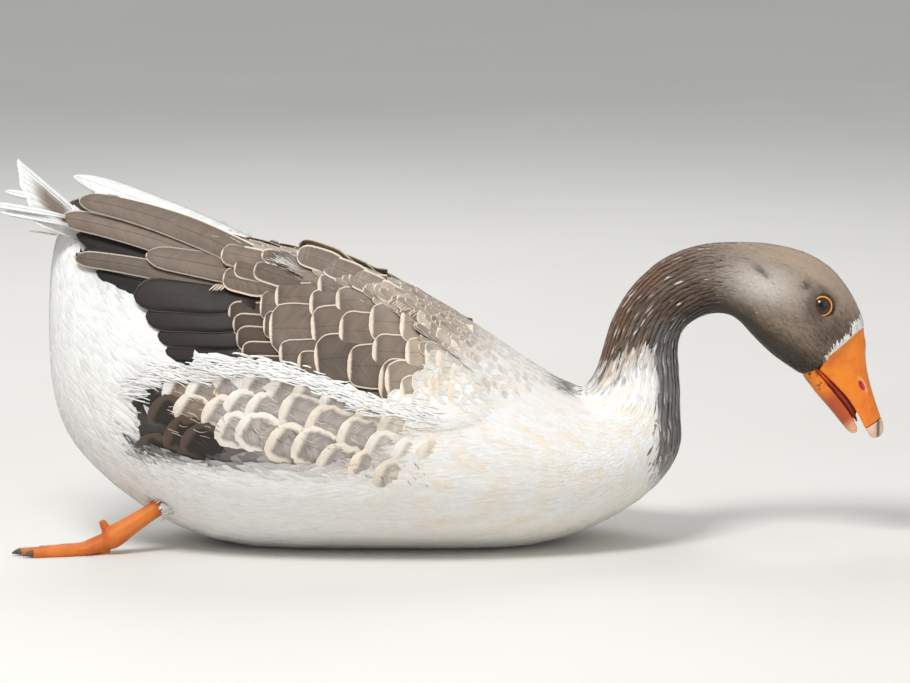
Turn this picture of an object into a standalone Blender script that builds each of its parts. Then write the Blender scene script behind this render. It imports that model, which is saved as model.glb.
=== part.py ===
"""A domestic goose afloat, set down on its belly: life size, in metres, +X to the bill, +Z up.

The origin is the middle of the flat under the belly. The flesh and its plumage are lofts through named
sections; each wing lies in a shallow pocket of the trunk, and thin gaps part the pieces from each other.
"""

import math

import bmesh
import bpy
import numpy as np
from mathutils import Matrix, Vector

GAP = 0.0009  # how far a pocket stands off the piece that lies in it
PARTING = 0.00035  # the cut between two lengths of one loft
AROUND_TRUNK = 30
AROUND_NECK = 16
AROUND_BILL = 14

# Trunk sections from vent to breast: x, underside, back, half width, height of the widest line
TRUNK = (
    (-0.2370, 0.1300, 0.1600, 0.008, 0.146),
    (-0.2340, 0.1000, 0.2010, 0.032, 0.143),
    (-0.2260, 0.0760, 0.2140, 0.048, 0.138),
    (-0.2120, 0.0560, 0.2195, 0.063, 0.130),
    (-0.1850, 0.0320, 0.2190, 0.083, 0.116),
    (-0.1500, 0.0110, 0.2140, 0.101, 0.104),
    (-0.1100, -0.0010, 0.2050, 0.114, 0.094),
    (-0.0600, -0.0040, 0.1950, 0.122, 0.088),
    (0.0000, -0.0040, 0.1760, 0.123, 0.082),
    (0.0450, -0.0040, 0.1500, 0.117, 0.076),
    (0.0850, -0.0020, 0.1220, 0.106, 0.070),
    (0.1200, 0.0070, 0.1020, 0.090, 0.064),
    (0.1500, 0.0210, 0.0980, 0.071, 0.062),
    (0.1720, 0.0370, 0.0960, 0.051, 0.066),
    (0.1860, 0.0540, 0.0900, 0.029, 0.072),
    (0.1910, 0.0680, 0.0800, 0.008, 0.074),
)
TRUNK_STEPS = 24
BELLY_BULGE = 0.90  # under 1 fills the lower corners of a section
FLANK_BULGE = 0.94

# Neck and head sections, nape point and throat point (x, z) and half width, from breast to bill
NECK = (
    (0.1180, 0.0850, 0.1900, 0.0630, 0.0500),
    (0.1235, 0.1010, 0.1905, 0.0870, 0.0420),
    (0.1330, 0.1145, 0.1900, 0.1080, 0.0350),
    (0.1390, 0.1345, 0.1885, 0.1285, 0.0285),
    (0.1435, 0.1495, 0.1905, 0.1410, 0.0245),
    (0.1545, 0.1695, 0.1955, 0.1480, 0.0228),
    (0.1670, 0.1830, 0.2005, 0.1510, 0.0220),
    (0.1815, 0.1940, 0.2060, 0.1535, 0.0218),
    (0.2030, 0.2015, 0.2140, 0.1555, 0.0218),
    (0.2245, 0.2035, 0.2220, 0.1550, 0.0222),
    (0.2455, 0.2030, 0.2300, 0.1505, 0.0232),
    (0.2610, 0.2005, 0.2385, 0.1410, 0.0250),
    (0.2760, 0.1960, 0.2500, 0.1295, 0.0272),
    (0.2915, 0.1865, 0.2615, 0.1205, 0.0282),
    (0.3035, 0.1725, 0.2700, 0.1150, 0.0262),
    (0.3110, 0.1585, 0.2740, 0.1125, 0.0225),
    (0.3160, 0.1455, 0.2745, 0.1120, 0.0170),
)
# Where the neck's lengths and the head part, as places in NECK
NECK_CUTS = (0.0, 3.4, 7.0, 10.4, 16.0)
NECK_NODES = ("neck_base", "neck_bend", "neck_nape", "head")
RINGS_PER_SECTION = 2

# Upper bill: culmen point, edge point (x, z) and half width, from base to nail
BILL_UPPER = (
    (0.3163, 0.1450, 0.2853, 0.1172, 0.0158),
    (0.3165, 0.1365, 0.2915, 0.1115, 0.0150),
    (0.3160, 0.1275, 0.2980, 0.1048, 0.0138),
    (0.3172, 0.1165, 0.3035, 0.0985, 0.0126),
    (0.3196, 0.1062, 0.3080, 0.0918, 0.0118),
    (0.3226, 0.0960, 0.3118, 0.0853, 0.0112),
    (0.3260, 0.0864, 0.3150, 0.0788, 0.0104),
    (0.3284, 0.0796, 0.3180, 0.0734, 0.0090),
    (0.3288, 0.0742, 0.3204, 0.0704, 0.0064),
    (0.3262, 0.0704, 0.3226, 0.0698, 0.0028),
)
NAIL_START = 6.3  # place in BILL_UPPER
# Lower bill: upper edge point, underside point and half width
BILL_LOWER = (
    (0.2842, 0.1152, 0.2752, 0.1118, 0.0132),
    (0.2886, 0.1088, 0.2800, 0.1036, 0.0122),
    (0.2946, 0.1016, 0.2858, 0.0966, 0.0110),
    (0.3004, 0.0942, 0.2926, 0.0888, 0.0100),
    (0.3054, 0.0872, 0.2990, 0.0808, 0.0092),
    (0.3092, 0.0804, 0.3040, 0.0748, 0.0080),
    (0.3108, 0.0758, 0.3078, 0.0726, 0.0052),
    (0.3106, 0.0740, 0.3096, 0.0730, 0.0024),
)
TONGUE_LIFT = 0.0013  # how far the tongue stands over the lower bill's edges
TONGUE_SPAN = (2.2, 5.2)  # places in BILL_LOWER
TONGUE_SHARE = 0.55  # of the bill's half width

EYE_PLACE = (0.2863, 0.0196, 0.1622)
EYE_RADIUS = 0.0078

# Folded wing, x from wrist to tertial tip: lower edge, upper edge, half width, height of the widest
# line and the crown that the section curves to
WING = (
    (0.0600, 0.1080, 0.1200, 0.114, 0.078, 0.146),
    (0.0500, 0.0990, 0.1310, 0.118, 0.078, 0.153),
    (0.0250, 0.0960, 0.1500, 0.123, 0.080, 0.168),
    (-0.0100, 0.0990, 0.1690, 0.127, 0.085, 0.185),
    (-0.0500, 0.1120, 0.1850, 0.127, 0.090, 0.200),
    (-0.0850, 0.1220, 0.1995, 0.123, 0.094, 0.216),
    (-0.1200, 0.1260, 0.2150, 0.114, 0.099, 0.231),
    (-0.1450, 0.1330, 0.2255, 0.104, 0.105, 0.242),
    (-0.1620, 0.1560, 0.2315, 0.095, 0.110, 0.248),
    (-0.1800, 0.1760, 0.2360, 0.084, 0.116, 0.253),
    (-0.2000, 0.1890, 0.2390, 0.070, 0.124, 0.257),
    (-0.2150, 0.1985, 0.2395, 0.058, 0.132, 0.259),
    (-0.2215, 0.2090, 0.2340, 0.050, 0.136, 0.261),
)
WING_LENGTHS = 20
WING_RISES = 6
WING_THICK = 0.011
WING_EDGE_THICK = 0.0022
FAR_TIP_LIFT = 0.008  # the left wing's tip is held higher
FAR_TIP_FROM, FAR_TIP_TO = -0.125, -0.215

# The outer tail feathers, laid level: x, y, z, half depth and half thickness, right side
TAIL_EDGE = (
    (-0.2270, -0.0385, 0.2250, 0.0042, 0.0016),
    (-0.2400, -0.0400, 0.2285, 0.0046, 0.0015),
    (-0.2530, -0.0410, 0.2310, 0.0038, 0.0013),
    (-0.2640, -0.0415, 0.2328, 0.0026, 0.0011),
    (-0.2700, -0.0418, 0.2336, 0.0012, 0.0008),
)
LEFT_EDGE_SHARE = 0.62  # the left one ends sooner

TAIL_BASE = (-0.2060, 0.0, 0.2105)
TAIL_RISE_DEG = 41
TAIL_LENGTH = 0.070
TAIL_HALF_FAN_DEG = 25
TAIL_DROOP = 0.015
TAIL_THICK = 0.0024
TAIL_STEPS = 12
TAIL_LENGTHS = 5

SHANK_RADIUS = 0.0062
RIGHT_HOCK = (-0.1420, -0.0540, 0.0440)
RIGHT_TOE_JOINT = (-0.1930, -0.0620, 0.0110)
LEFT_HOCK = (-0.1050, 0.0740, 0.0230)
LEFT_TOE_JOINT = (-0.0380, 0.0820, 0.0100)
TOE_LENGTHS = {"inner": 0.046, "middle": 0.060, "outer": 0.054}
TOE_STARTS = {"inner": -0.02, "middle": -0.045, "outer": -0.03}
SHANK_STOP = 0.0066  # where the shank ends, short of the toe joint
TOE_RADIUS = 0.0048
TOE_TAPER = 0.42
TOE_FLAT = 0.0006  # how much of a toe's underside is pressed flat
HIND_TOE_LENGTH = 0.013
WEB_THICK = 0.0022
WEB_LIFTS = {"inner": 0.0007, "outer": 0.0010}  # unlike, so that the webs cross cleanly
CLAW_LENGTH = 0.0065
POCKET_CLEAR = 0.0025  # room in the belly round the tucked foot

COLOURS = {
    "plumage_white": ((0.80, 0.76, 0.70), 0.85),
    "plumage_brown": ((0.20, 0.155, 0.12), 0.80),
    "plumage_dark": ((0.075, 0.058, 0.046), 0.70),
    "bill_orange": ((0.83, 0.27, 0.02), 0.40),
    "nail_ivory": ((0.78, 0.62, 0.50), 0.40),
    "tongue_red": ((0.42, 0.05, 0.03), 0.45),
    "eye_brown": ((0.035, 0.015, 0.008), 0.06),
    "leg_orange": ((0.72, 0.25, 0.05), 0.50),
    "claw_horn": ((0.12, 0.08, 0.06), 0.45),
}


def clear_scene():
    for obj in list(bpy.data.objects):
        bpy.data.objects.remove(obj, do_unlink=True)


def material(name):
    """The Principled material of that name, made once."""
    found = bpy.data.materials.get(name)
    if found:
        return found
    colour, roughness = COLOURS[name]
    made = bpy.data.materials.new(name)
    made.use_nodes = True
    shader = made.node_tree.nodes["Principled BSDF"]
    shader.inputs["Base Color"].default_value = (*colour, 1)
    shader.inputs["Roughness"].default_value = roughness
    made.diffuse_color = (*colour, 1)
    return made


def through(table, place, column):
    """Value of a column of table at a fractional place in it, on a smooth curve through its rows."""
    count = len(table)
    at = min(max(place, 0.0), count - 1.0)
    i = min(int(at), count - 2)
    t = at - i
    p1, p2 = table[i][column], table[i + 1][column]
    p0 = table[i - 1][column] if i else 2 * p1 - p2
    p3 = table[i + 2][column] if i + 2 < count else 2 * p2 - p1
    m1, m2 = limited((p2 - p0) / 2, p1 - p0, p2 - p1), limited((p3 - p1) / 2, p2 - p1, p3 - p2)
    a = (2 * t**3 - 3 * t**2 + 1) * p1 + (t**3 - 2 * t**2 + t) * m1
    return a + (3 * t**2 - 2 * t**3) * p2 + (t**3 - t**2) * m2


def limited(slope, before, after):
    """A slope that can't make the curve overshoot its points."""
    if before * after <= 0:
        return 0.0
    most = 3 * min(abs(before), abs(after))
    return math.copysign(min(abs(slope), most), slope)


def row(table, place):
    return [through(table, place, column) for column in range(len(table[0]))]


def mesh_object(name, bm, look, smooth=True):
    bmesh.ops.recalc_face_normals(bm, faces=bm.faces)
    mesh = bpy.data.meshes.new(name)
    bm.to_mesh(mesh)
    bm.free()
    mesh.materials.append(material(look))
    if smooth:
        mesh.shade_smooth()
    obj = bpy.data.objects.new(name, mesh)
    bpy.context.scene.collection.objects.link(obj)
    return obj


def loft(name, rings, look):
    """A closed solid through rings of points, each ring in the same turn, with flat ends."""
    bm = bmesh.new()
    loops = [[bm.verts.new(p) for p in ring] for ring in rings]
    for near, far in zip(loops, loops[1:]):
        for i, corner in enumerate(near):
            j = (i + 1) % len(near)
            bm.faces.new((corner, near[j], far[j], far[i]))
    bm.faces.new(loops[0])
    bm.faces.new(loops[-1])
    return mesh_object(name, bm, look)


def power(value, exponent):
    return math.copysign(abs(value) ** exponent, value)


def trunk_ring(place):
    x, bottom, top, half, middle = row(TRUNK, place)
    ring = []
    for i in range(AROUND_TRUNK):
        angle = 2 * math.pi * i / AROUND_TRUNK
        c, s = math.cos(angle), math.sin(angle)
        z = middle + (top - middle) * s if s > 0 else middle + (middle - bottom) * power(s, BELLY_BULGE)
        ring.append(Vector((x, half * power(c, FLANK_BULGE), z)))
    return ring


def trunk():
    """The body from vent to breast, cut level under the belly."""
    last = len(TRUNK) - 1
    rings = [trunk_ring(last * i / TRUNK_STEPS) for i in range(TRUNK_STEPS + 1)]
    obj = loft("trunk", rings, "plumage_white")
    bm = bmesh.new()
    bm.from_mesh(obj.data)
    geometry = bm.verts[:] + bm.edges[:] + bm.faces[:]
    cut = bmesh.ops.bisect_plane(
        bm, geom=geometry, plane_co=(0, 0, 0), plane_no=(0, 0, -1), clear_outer=True
    )
    rim = [e for e in cut["geom_cut"] if isinstance(e, bmesh.types.BMEdge)]
    bmesh.ops.edgeloop_fill(bm, edges=rim)
    bmesh.ops.recalc_face_normals(bm, faces=bm.faces)
    bm.to_mesh(obj.data)
    bm.free()
    return obj


def neck_ring(place, shift):
    """A section from nape to throat, moved along the neck by shift."""
    x1, z1, x2, z2, half = row(NECK, place)
    upper, lower = Vector((x1, 0, z1)), Vector((x2, 0, z2))
    centre, arm = (upper + lower) / 2, (upper - lower) / 2
    along = Vector((arm.z, 0, -arm.x)).normalized()
    ring = []
    for i in range(AROUND_NECK):
        angle = 2 * math.pi * i / AROUND_NECK
        c, s = math.cos(angle), math.sin(angle)
        side = Vector((0, half * c, 0))
        ring.append(centre + arm * s + side + along * shift)
    return ring


def neck_and_head():
    """The neck's lengths and the head, one loft parted by thin cuts."""
    made = {}
    for name, start, end in zip(NECK_NODES, NECK_CUTS, NECK_CUTS[1:]):
        steps = max(2, round((end - start) * RINGS_PER_SECTION))
        rings = []
        for i in range(steps + 1):
            place = start + (end - start) * i / steps
            shift = PARTING / 2 if i == 0 else -PARTING / 2 if i == steps else 0.0
            rings.append(neck_ring(place, shift))
        look = "plumage_white" if name == "neck_base" else "plumage_dark"
        made[name] = loft(name, rings, look)
    return made


def bill_ring(table, place, flat_top, shift=0.0):
    """A bill section: round outside, flat towards the mouth."""
    x1, z1, x2, z2, half = row(table, place)
    upper, lower = Vector((x1, 0, z1)), Vector((x2, 0, z2))
    back, rise = (lower, upper - lower) if not flat_top else (upper, lower - upper)
    along = Vector(((upper - lower).z, 0, -(upper - lower).x)).normalized()
    ring = []
    for i in range(AROUND_BILL):
        t = i / (AROUND_BILL - 1)
        angle = math.pi * t
        side = half * power(math.cos(angle), 0.8)
        ring.append(back + rise * power(math.sin(angle), 0.85) + Vector((0, side, 0)) + along * shift)
    return ring


def bill():
    """The two mandibles, the nail and the tongue."""
    steps = 10
    rings = []
    for i in range(steps + 1):
        place = NAIL_START * i / steps
        shift = PARTING if i == 0 else -PARTING / 2 if i == steps else 0.0
        rings.append(bill_ring(BILL_UPPER, place, False, shift))
    loft("bill_upper", rings, "bill_orange")
    last, nail_steps = len(BILL_UPPER) - 1, 6
    rings = []
    for i in range(nail_steps + 1):
        place = NAIL_START + (last - NAIL_START) * i / nail_steps
        rings.append(bill_ring(BILL_UPPER, place, False, PARTING / 2 if i == 0 else 0.0))
    loft("bill_nail", rings, "nail_ivory")
    last = len(BILL_LOWER) - 1
    rings = []
    for i in range(steps + 1):
        place = last * i / steps
        rings.append(bill_ring(BILL_LOWER, place, True, PARTING if i == 0 else 0.0))
    loft("bill_lower", rings, "bill_orange")
    tongue(*TONGUE_SPAN)


def tongue(start, end):
    steps, around = 8, 10
    rings = []
    for i in range(steps + 1):
        t = i / steps
        x1, z1, x2, z2, half = row(BILL_LOWER, start + (end - start) * t)
        up = Vector((x1 - x2, 0, z1 - z2)).normalized()
        swell = math.sqrt(max(0.06, 1 - (2 * t - 1) ** 4))
        centre = Vector((x1, 0, z1)) + up * (PARTING + TONGUE_LIFT)
        rings.append(
            [
                centre
                + Vector((0, half * TONGUE_SHARE * swell * math.cos(2 * math.pi * k / around), 0))
                + up * (TONGUE_LIFT * swell * math.sin(2 * math.pi * k / around))
                for k in range(around)
            ]
        )
    loft("tongue", rings, "tongue_red")


def pocket(body, piece, clearance=GAP):
    """Cuts room in body for piece, which stands off it all round."""
    cutter = bpy.data.objects.new(piece.name + "_room_in_" + body.name, piece.data.copy())
    bpy.context.scene.collection.objects.link(cutter)
    grow = cutter.modifiers.new("grow", "DISPLACE")
    grow.strength = clearance
    grow.mid_level = 0.0
    cutter.hide_render = True
    cutter.display_type = "WIRE"
    cut = body.modifiers.new("room_" + piece.name, "BOOLEAN")
    cut.operation = "DIFFERENCE"
    cut.solver = "EXACT"
    cut.object = cutter


def join_solid(body, other):
    """Joins other into body as one closed solid."""
    other.hide_render = True
    other.display_type = "WIRE"
    add = body.modifiers.new("add_" + other.name, "BOOLEAN")
    add.operation = "UNION"
    add.solver = "EXACT"
    add.object = other


def eye(name, side):
    bm = bmesh.new()
    place = Matrix.Translation((EYE_PLACE[0], side * EYE_PLACE[1], EYE_PLACE[2]))
    bmesh.ops.create_uvsphere(bm, u_segments=14, v_segments=9, radius=EYE_RADIUS)
    bmesh.ops.transform(bm, matrix=place @ Matrix.Rotation(math.pi / 2, 4, "X"), verts=bm.verts)
    return mesh_object(name, bm, "eye_brown")


def ease(value, start, end):
    t = min(max((value - start) / (end - start), 0.0), 1.0)
    return t * t * (3 - 2 * t)


def wing(name, side):
    """A folded wing: a curved slab, thin at its rim, that lies in the trunk's side."""
    last = len(WING) - 1
    bm = bmesh.new()
    outer, inner = [], []
    for i in range(WING_LENGTHS + 1):
        x, low, high, half, middle, crown = row(WING, last * i / WING_LENGTHS)
        lift = FAR_TIP_LIFT * ease(x, FAR_TIP_FROM, FAR_TIP_TO) if side > 0 else 0.0
        outer.append([])
        inner.append([])
        for j in range(WING_RISES + 1):
            t = j / WING_RISES
            z = low + (high - low) * t
            across = (z - middle) / (crown - middle)
            y = half * math.sqrt(max(0.0, 1 - across * across))
            normal = Vector((0, y / half**2, (z - middle) / (crown - middle) ** 2)).normalized()
            ends = min(i / 3, (WING_LENGTHS - i) / 6, 1.0)
            depth = WING_EDGE_THICK + (WING_THICK - WING_EDGE_THICK) * ends * math.sin(math.pi * t) ** 0.6
            tip = 1 - ease(x, FAR_TIP_FROM, -0.19)
            depth = WING_EDGE_THICK + (depth - WING_EDGE_THICK) * (0.15 + 0.85 * tip)
            skin = Vector((x, y, z + lift))
            outer[-1].append(bm.verts.new(sided(skin, side)))
            inner[-1].append(bm.verts.new(sided(skin - normal * depth, side)))
    for grid, turned in ((outer, False), (inner, True)):
        for a, b in zip(grid, grid[1:]):
            for j in range(WING_RISES):
                corners = (a[j], b[j], b[j + 1], a[j + 1])
                bm.faces.new(corners[::-1] if turned else corners)
    rim = rim_of(outer), rim_of(inner)
    for k in range(len(rim[0])):
        m = (k + 1) % len(rim[0])
        bm.faces.new((rim[0][k], rim[0][m], rim[1][m], rim[1][k]))
    return mesh_object(name, bm, "plumage_brown")


def rim_of(grid):
    """The corners round the edge of a grid, in turn."""
    first, last = grid[0], grid[-1]
    lower = [line[0] for line in grid[1:-1]]
    upper = [line[-1] for line in grid[1:-1]]
    return first[::-1] + lower + last + upper[::-1]


def sided(point, side):
    return Vector((point.x, point.y * side, point.z))


def tail_edge(name, side):
    """A slender outer tail feather that points straight back."""
    around, steps, last = 8, 8, len(TAIL_EDGE) - 1
    root = TAIL_EDGE[0][0]
    share = LEFT_EDGE_SHARE if side > 0 else 1.0
    rings = []
    for i in range(steps + 1):
        x, y, z, deep, thick = row(TAIL_EDGE, last * i / steps)
        x = root + (x - root) * share
        turn = [2 * math.pi * k / around for k in range(around)]
        rings.append([Vector((x, -side * y + thick * math.cos(a), z + deep * math.sin(a))) for a in turn])
    return loft(name, rings, "plumage_white")


def tail():
    """The fan of tail feathers, raised, with its sides drooping."""
    rise = math.radians(TAIL_RISE_DEG)
    back, up = Vector((-math.cos(rise), 0, math.sin(rise))), Vector((math.sin(rise), 0, math.cos(rise)))
    bm = bmesh.new()
    top, under = [], []
    for i in range(TAIL_LENGTHS + 1):
        t = i / TAIL_LENGTHS
        top.append([])
        under.append([])
        for j in range(TAIL_STEPS + 1):
            across = 2 * j / TAIL_STEPS - 1
            angle = math.radians(TAIL_HALF_FAN_DEG) * across
            reach = 0.010 + (TAIL_LENGTH * (1 - 0.16 * across**2) - 0.010) * t
            width = 0.008 * across
            aside = Vector((0, width + reach * math.sin(angle), 0))
            place = Vector(TAIL_BASE) + back * reach * math.cos(angle) + aside
            place -= up * TAIL_DROOP * across**2 * (0.25 + 0.75 * t)
            thick = TAIL_THICK * (1 - 0.45 * t)
            top[-1].append(bm.verts.new(place + up * thick / 2))
            under[-1].append(bm.verts.new(place - up * thick / 2))
    for grid in (top, under):
        for a, b in zip(grid, grid[1:]):
            for j in range(TAIL_STEPS):
                bm.faces.new((a[j], b[j], b[j + 1], a[j + 1]))
    rim = rim_of(top), rim_of(under)
    for k in range(len(rim[0])):
        m = (k + 1) % len(rim[0])
        bm.faces.new((rim[0][k], rim[0][m], rim[1][m], rim[1][k]))
    return mesh_object("tail", bm, "plumage_white")


def tube_rings(points, radii, around=9):
    """Rings round a line of points."""
    rings = []
    for i, (point, radius) in enumerate(zip(points, radii)):
        ahead = points[min(i + 1, len(points) - 1)] - points[max(i - 1, 0)]
        side = ahead.cross(Vector((0, 0, 1))).normalized()
        up = side.cross(ahead).normalized()
        ring = []
        for k in range(around):
            angle = 2 * math.pi * k / around
            ring.append(point + (side * math.cos(angle) + up * math.sin(angle)) * radius)
        rings.append(ring)
    return rings


def shank(name, hock, joint):
    """The bare leg from the hock to just short of the toes."""
    top, foot = Vector(hock), Vector(joint)
    steps = 5
    ahead = (foot - top).normalized()
    end = foot - ahead * SHANK_STOP
    points = [top.lerp(end, i / steps) for i in range(steps + 1)]
    radii = [SHANK_RADIUS * (1.12 - 0.30 * math.sin(math.pi * i / steps)) for i in range(steps + 1)]
    return loft(name, tube_rings(points, radii), "leg_orange")


def toe_line(joint, heading, length, start=0.0, steps=6):
    """The middle line of a toe, which runs down to the floor from the joint."""
    ahead = Vector((math.cos(heading), math.sin(heading), 0))
    points = []
    for i in range(steps + 1):
        t = start + (1 - start) * i / steps
        rest = TOE_RADIUS * (1 - TOE_TAPER * t) - TOE_FLAT
        sink = joint.z - (joint.z - rest) * ease(t, 0.0, 0.35)
        points.append(Vector((joint.x, joint.y, 0)) + ahead * length * t + Vector((0, 0, sink)))
    return points


def toe_radii(steps=6):
    """A toe tapers, and swells at its three joints."""
    radii = []
    for i in range(steps + 1):
        swell = 1 + 0.07 * math.cos(6 * math.pi * i / steps)
        radii.append(TOE_RADIUS * (1 - TOE_TAPER * i / steps) * swell)
    return radii


def web(name, joint, first, second, lengths, lift):
    """The skin between two toes, held lift over the floor, with its free edge drawn in."""
    steps = 4
    bm = bmesh.new()
    top, under = [], []
    for i in range(steps + 1):
        t = i / steps
        heading = first + (second - first) * (t * 1.04 - 0.04)
        length = (lengths[0] + (lengths[1] - lengths[0]) * t) * (0.93 - 0.16 * math.sin(math.pi * t))
        ahead = Vector((math.cos(heading), math.sin(heading), 0))
        for line, height in ((top, lift + WEB_THICK), (under, lift)):
            root = Vector((joint.x, joint.y, height))
            line.append([bm.verts.new(root + ahead * length * u) for u in (0.04, 0.5, 1.0)])
    for grid in (top, under):
        for a, b in zip(grid, grid[1:]):
            for j in range(2):
                bm.faces.new((a[j], b[j], b[j + 1], a[j + 1]))
    rim = rim_of(top), rim_of(under)
    for k in range(len(rim[0])):
        m = (k + 1) % len(rim[0])
        bm.faces.new((rim[0][k], rim[0][m], rim[1][m], rim[1][k]))
    return mesh_object(name, bm, "leg_orange")


def level_under(obj):
    """Cuts off what would be under the floor."""
    floor = bpy.data.objects.get("floor_cut")
    if not floor:
        bm = bmesh.new()
        bmesh.ops.create_cube(bm, size=1.0)
        bmesh.ops.transform(bm, matrix=Matrix.Translation((0, 0, -0.5)), verts=bm.verts)
        floor = mesh_object("floor_cut", bm, "leg_orange", False)
        floor.hide_render = True
        floor.display_type = "WIRE"
    cut = obj.modifiers.new("level", "BOOLEAN")
    cut.operation = "DIFFERENCE"
    cut.solver = "EXACT"
    cut.object = floor


def claw(name, tip, ahead):
    steps = 4
    points = [tip + ahead * (2 * PARTING + CLAW_LENGTH * i / steps) for i in range(steps + 1)]
    points = [Vector((p.x, p.y, 0.0030 - 0.0012 * (i / steps) ** 2)) for i, p in enumerate(points)]
    radii = [0.0026, 0.0023, 0.0018, 0.0012, 0.0006]
    made = loft(name, tube_rings(points, radii, 8), "claw_horn")
    level_under(made)
    return made


def foot(side_name, joint, heading_deg, spread_deg, hind_up):
    """Three webbed toes flat on the floor and the hind toe, as one solid, and the front toes' three claws."""
    joint = Vector(joint)
    headings = {
        "inner": math.radians(heading_deg - spread_deg),
        "middle": math.radians(heading_deg),
        "outer": math.radians(heading_deg + spread_deg),
    }
    toes = {}
    for toe, heading in headings.items():
        name = f"foot_{side_name}" if toe == "middle" else f"toe_{side_name}_{toe}"
        line = toe_line(joint, heading, TOE_LENGTHS[toe], TOE_STARTS[toe])
        toes[toe] = loft(name, tube_rings(line, toe_radii()), "leg_orange")
        tip = line[-1]
        claw(f"claw_{side_name}_{toe}", tip, Vector((math.cos(heading), math.sin(heading), 0)))
    body = toes["middle"]
    for toe, lift in WEB_LIFTS.items():
        join_solid(body, toes[toe])
        name = f"web_{side_name}_{toe}"
        lengths = (TOE_LENGTHS["middle"], TOE_LENGTHS[toe])
        join_solid(body, web(name, joint, headings["middle"], headings[toe], lengths, lift))
    back = math.radians(heading_deg)
    ahead = Vector((math.cos(back), math.sin(back), 0))
    inward = Vector((ahead.y, -ahead.x, 0))
    aim = (Vector((0, 0, 0.9)) + ahead * 0.45 if hind_up else inward).normalized()
    start = joint + ahead * 0.001
    points = [start + aim * HIND_TOE_LENGTH * i / 4 for i in range(5)]
    radii = (0.0036, 0.0032, 0.0028, 0.0024, 0.0018)
    join_solid(body, loft(f"hind_toe_{side_name}", tube_rings(points, radii, 8), "leg_orange"))
    level_under(body)
    return body


def tucked_foot_room(hock, joint, heading_deg, spread_deg):
    """A slipper-shaped hollow under the belly for the folded leg and spread foot."""
    top, foot_joint = Vector(hock), Vector(joint)
    heading = math.radians(heading_deg)
    ahead = Vector((math.cos(heading), math.sin(heading), 0))
    side = Vector((-ahead.y, ahead.x, 0))
    reach = TOE_LENGTHS["middle"] + CLAW_LENGTH + POCKET_CLEAR * 2
    behind = (foot_joint - top).length + POCKET_CLEAR * 6
    steps, around = 9, 10
    rings = []
    for i in range(steps + 1):
        along = -behind + (behind + reach) * i / steps
        fan = max(along, 0.0) * math.tan(math.radians(spread_deg)) * 0.92
        ends = math.sqrt(max(0.05, 1 - abs(2 * i / steps - 1) ** 6))
        hind_toe = HIND_TOE_LENGTH * math.exp(-((along / 0.018) ** 2))
        half = (SHANK_RADIUS + POCKET_CLEAR + max(fan, hind_toe)) * ends
        height = (0.015 + (0.020 * ease(-along, 0.0, behind))) * ends + POCKET_CLEAR
        middle = Vector((foot_joint.x, foot_joint.y, 0)) + ahead * along
        ring = []
        for k in range(around):
            angle = 2 * math.pi * k / around
            z = height * math.sin(angle) if math.sin(angle) > 0 else 0.01 * math.sin(angle)
            ring.append(middle + side * half * math.cos(angle) + Vector((0, 0, z)))
        rings.append(ring)
    room = loft("tucked_foot_room", rings, "leg_orange")
    room.hide_render = True
    room.display_type = "WIRE"
    return room


def build():
    clear_scene()
    body = trunk()
    lengths = neck_and_head()
    pocket(body, lengths["neck_base"])
    bill()
    for name, side in (("eye_right", -1), ("eye_left", 1)):
        pocket(lengths["head"], eye(name, side), PARTING)
    for name, side in (("wing_right", -1), ("wing_left", 1)):
        pocket(body, wing(name, side))
    pocket(body, tail())
    for name, side in (("tail_edge_right", -1), ("tail_edge_left", 1)):
        tail_edge(name, side)
    pocket(body, shank("shank_right", RIGHT_HOCK, RIGHT_TOE_JOINT))
    foot("right", RIGHT_TOE_JOINT, 186, 9, True)
    left_heading, left_spread = 6, 24
    pocket(body, shank("shank_left", LEFT_HOCK, LEFT_TOE_JOINT), POCKET_CLEAR)
    foot("left", LEFT_TOE_JOINT, left_heading, left_spread, False)
    room = tucked_foot_room(LEFT_HOCK, LEFT_TOE_JOINT, left_heading, left_spread)
    cut = body.modifiers.new("room_foot_left", "BOOLEAN")
    cut.operation = "DIFFERENCE"
    cut.solver = "EXACT"
    cut.object = room


build()
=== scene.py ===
"""A domestic goose afloat: skin, feathers, bill, eyes and legs over its frame. Metres, +X to the bill, +Z up.

The feathers are thin closed vanes laid over the frame's outside. The large ones of the wing are set out
one by one in a side drawing of the bird, in millimetres; the rest grow where the skin has room for them.
"""

import math

import bpy
import numpy as np
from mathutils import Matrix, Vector
from mathutils.bvhtree import BVHTree


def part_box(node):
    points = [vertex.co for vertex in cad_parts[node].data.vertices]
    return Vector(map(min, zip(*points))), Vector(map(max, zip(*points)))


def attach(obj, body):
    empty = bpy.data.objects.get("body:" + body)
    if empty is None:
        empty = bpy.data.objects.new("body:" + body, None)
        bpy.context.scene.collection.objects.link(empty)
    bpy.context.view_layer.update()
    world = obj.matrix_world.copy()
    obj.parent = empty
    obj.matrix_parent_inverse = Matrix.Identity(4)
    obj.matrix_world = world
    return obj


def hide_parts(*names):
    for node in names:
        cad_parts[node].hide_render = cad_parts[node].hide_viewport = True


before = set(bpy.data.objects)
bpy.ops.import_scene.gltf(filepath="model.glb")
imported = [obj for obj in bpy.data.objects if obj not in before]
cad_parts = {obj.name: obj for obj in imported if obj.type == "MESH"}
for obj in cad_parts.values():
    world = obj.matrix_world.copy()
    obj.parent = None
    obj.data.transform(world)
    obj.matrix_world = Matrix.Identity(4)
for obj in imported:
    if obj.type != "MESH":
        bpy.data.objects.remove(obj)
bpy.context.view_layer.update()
bpy.ops.object.select_all(action="DESELECT")

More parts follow.
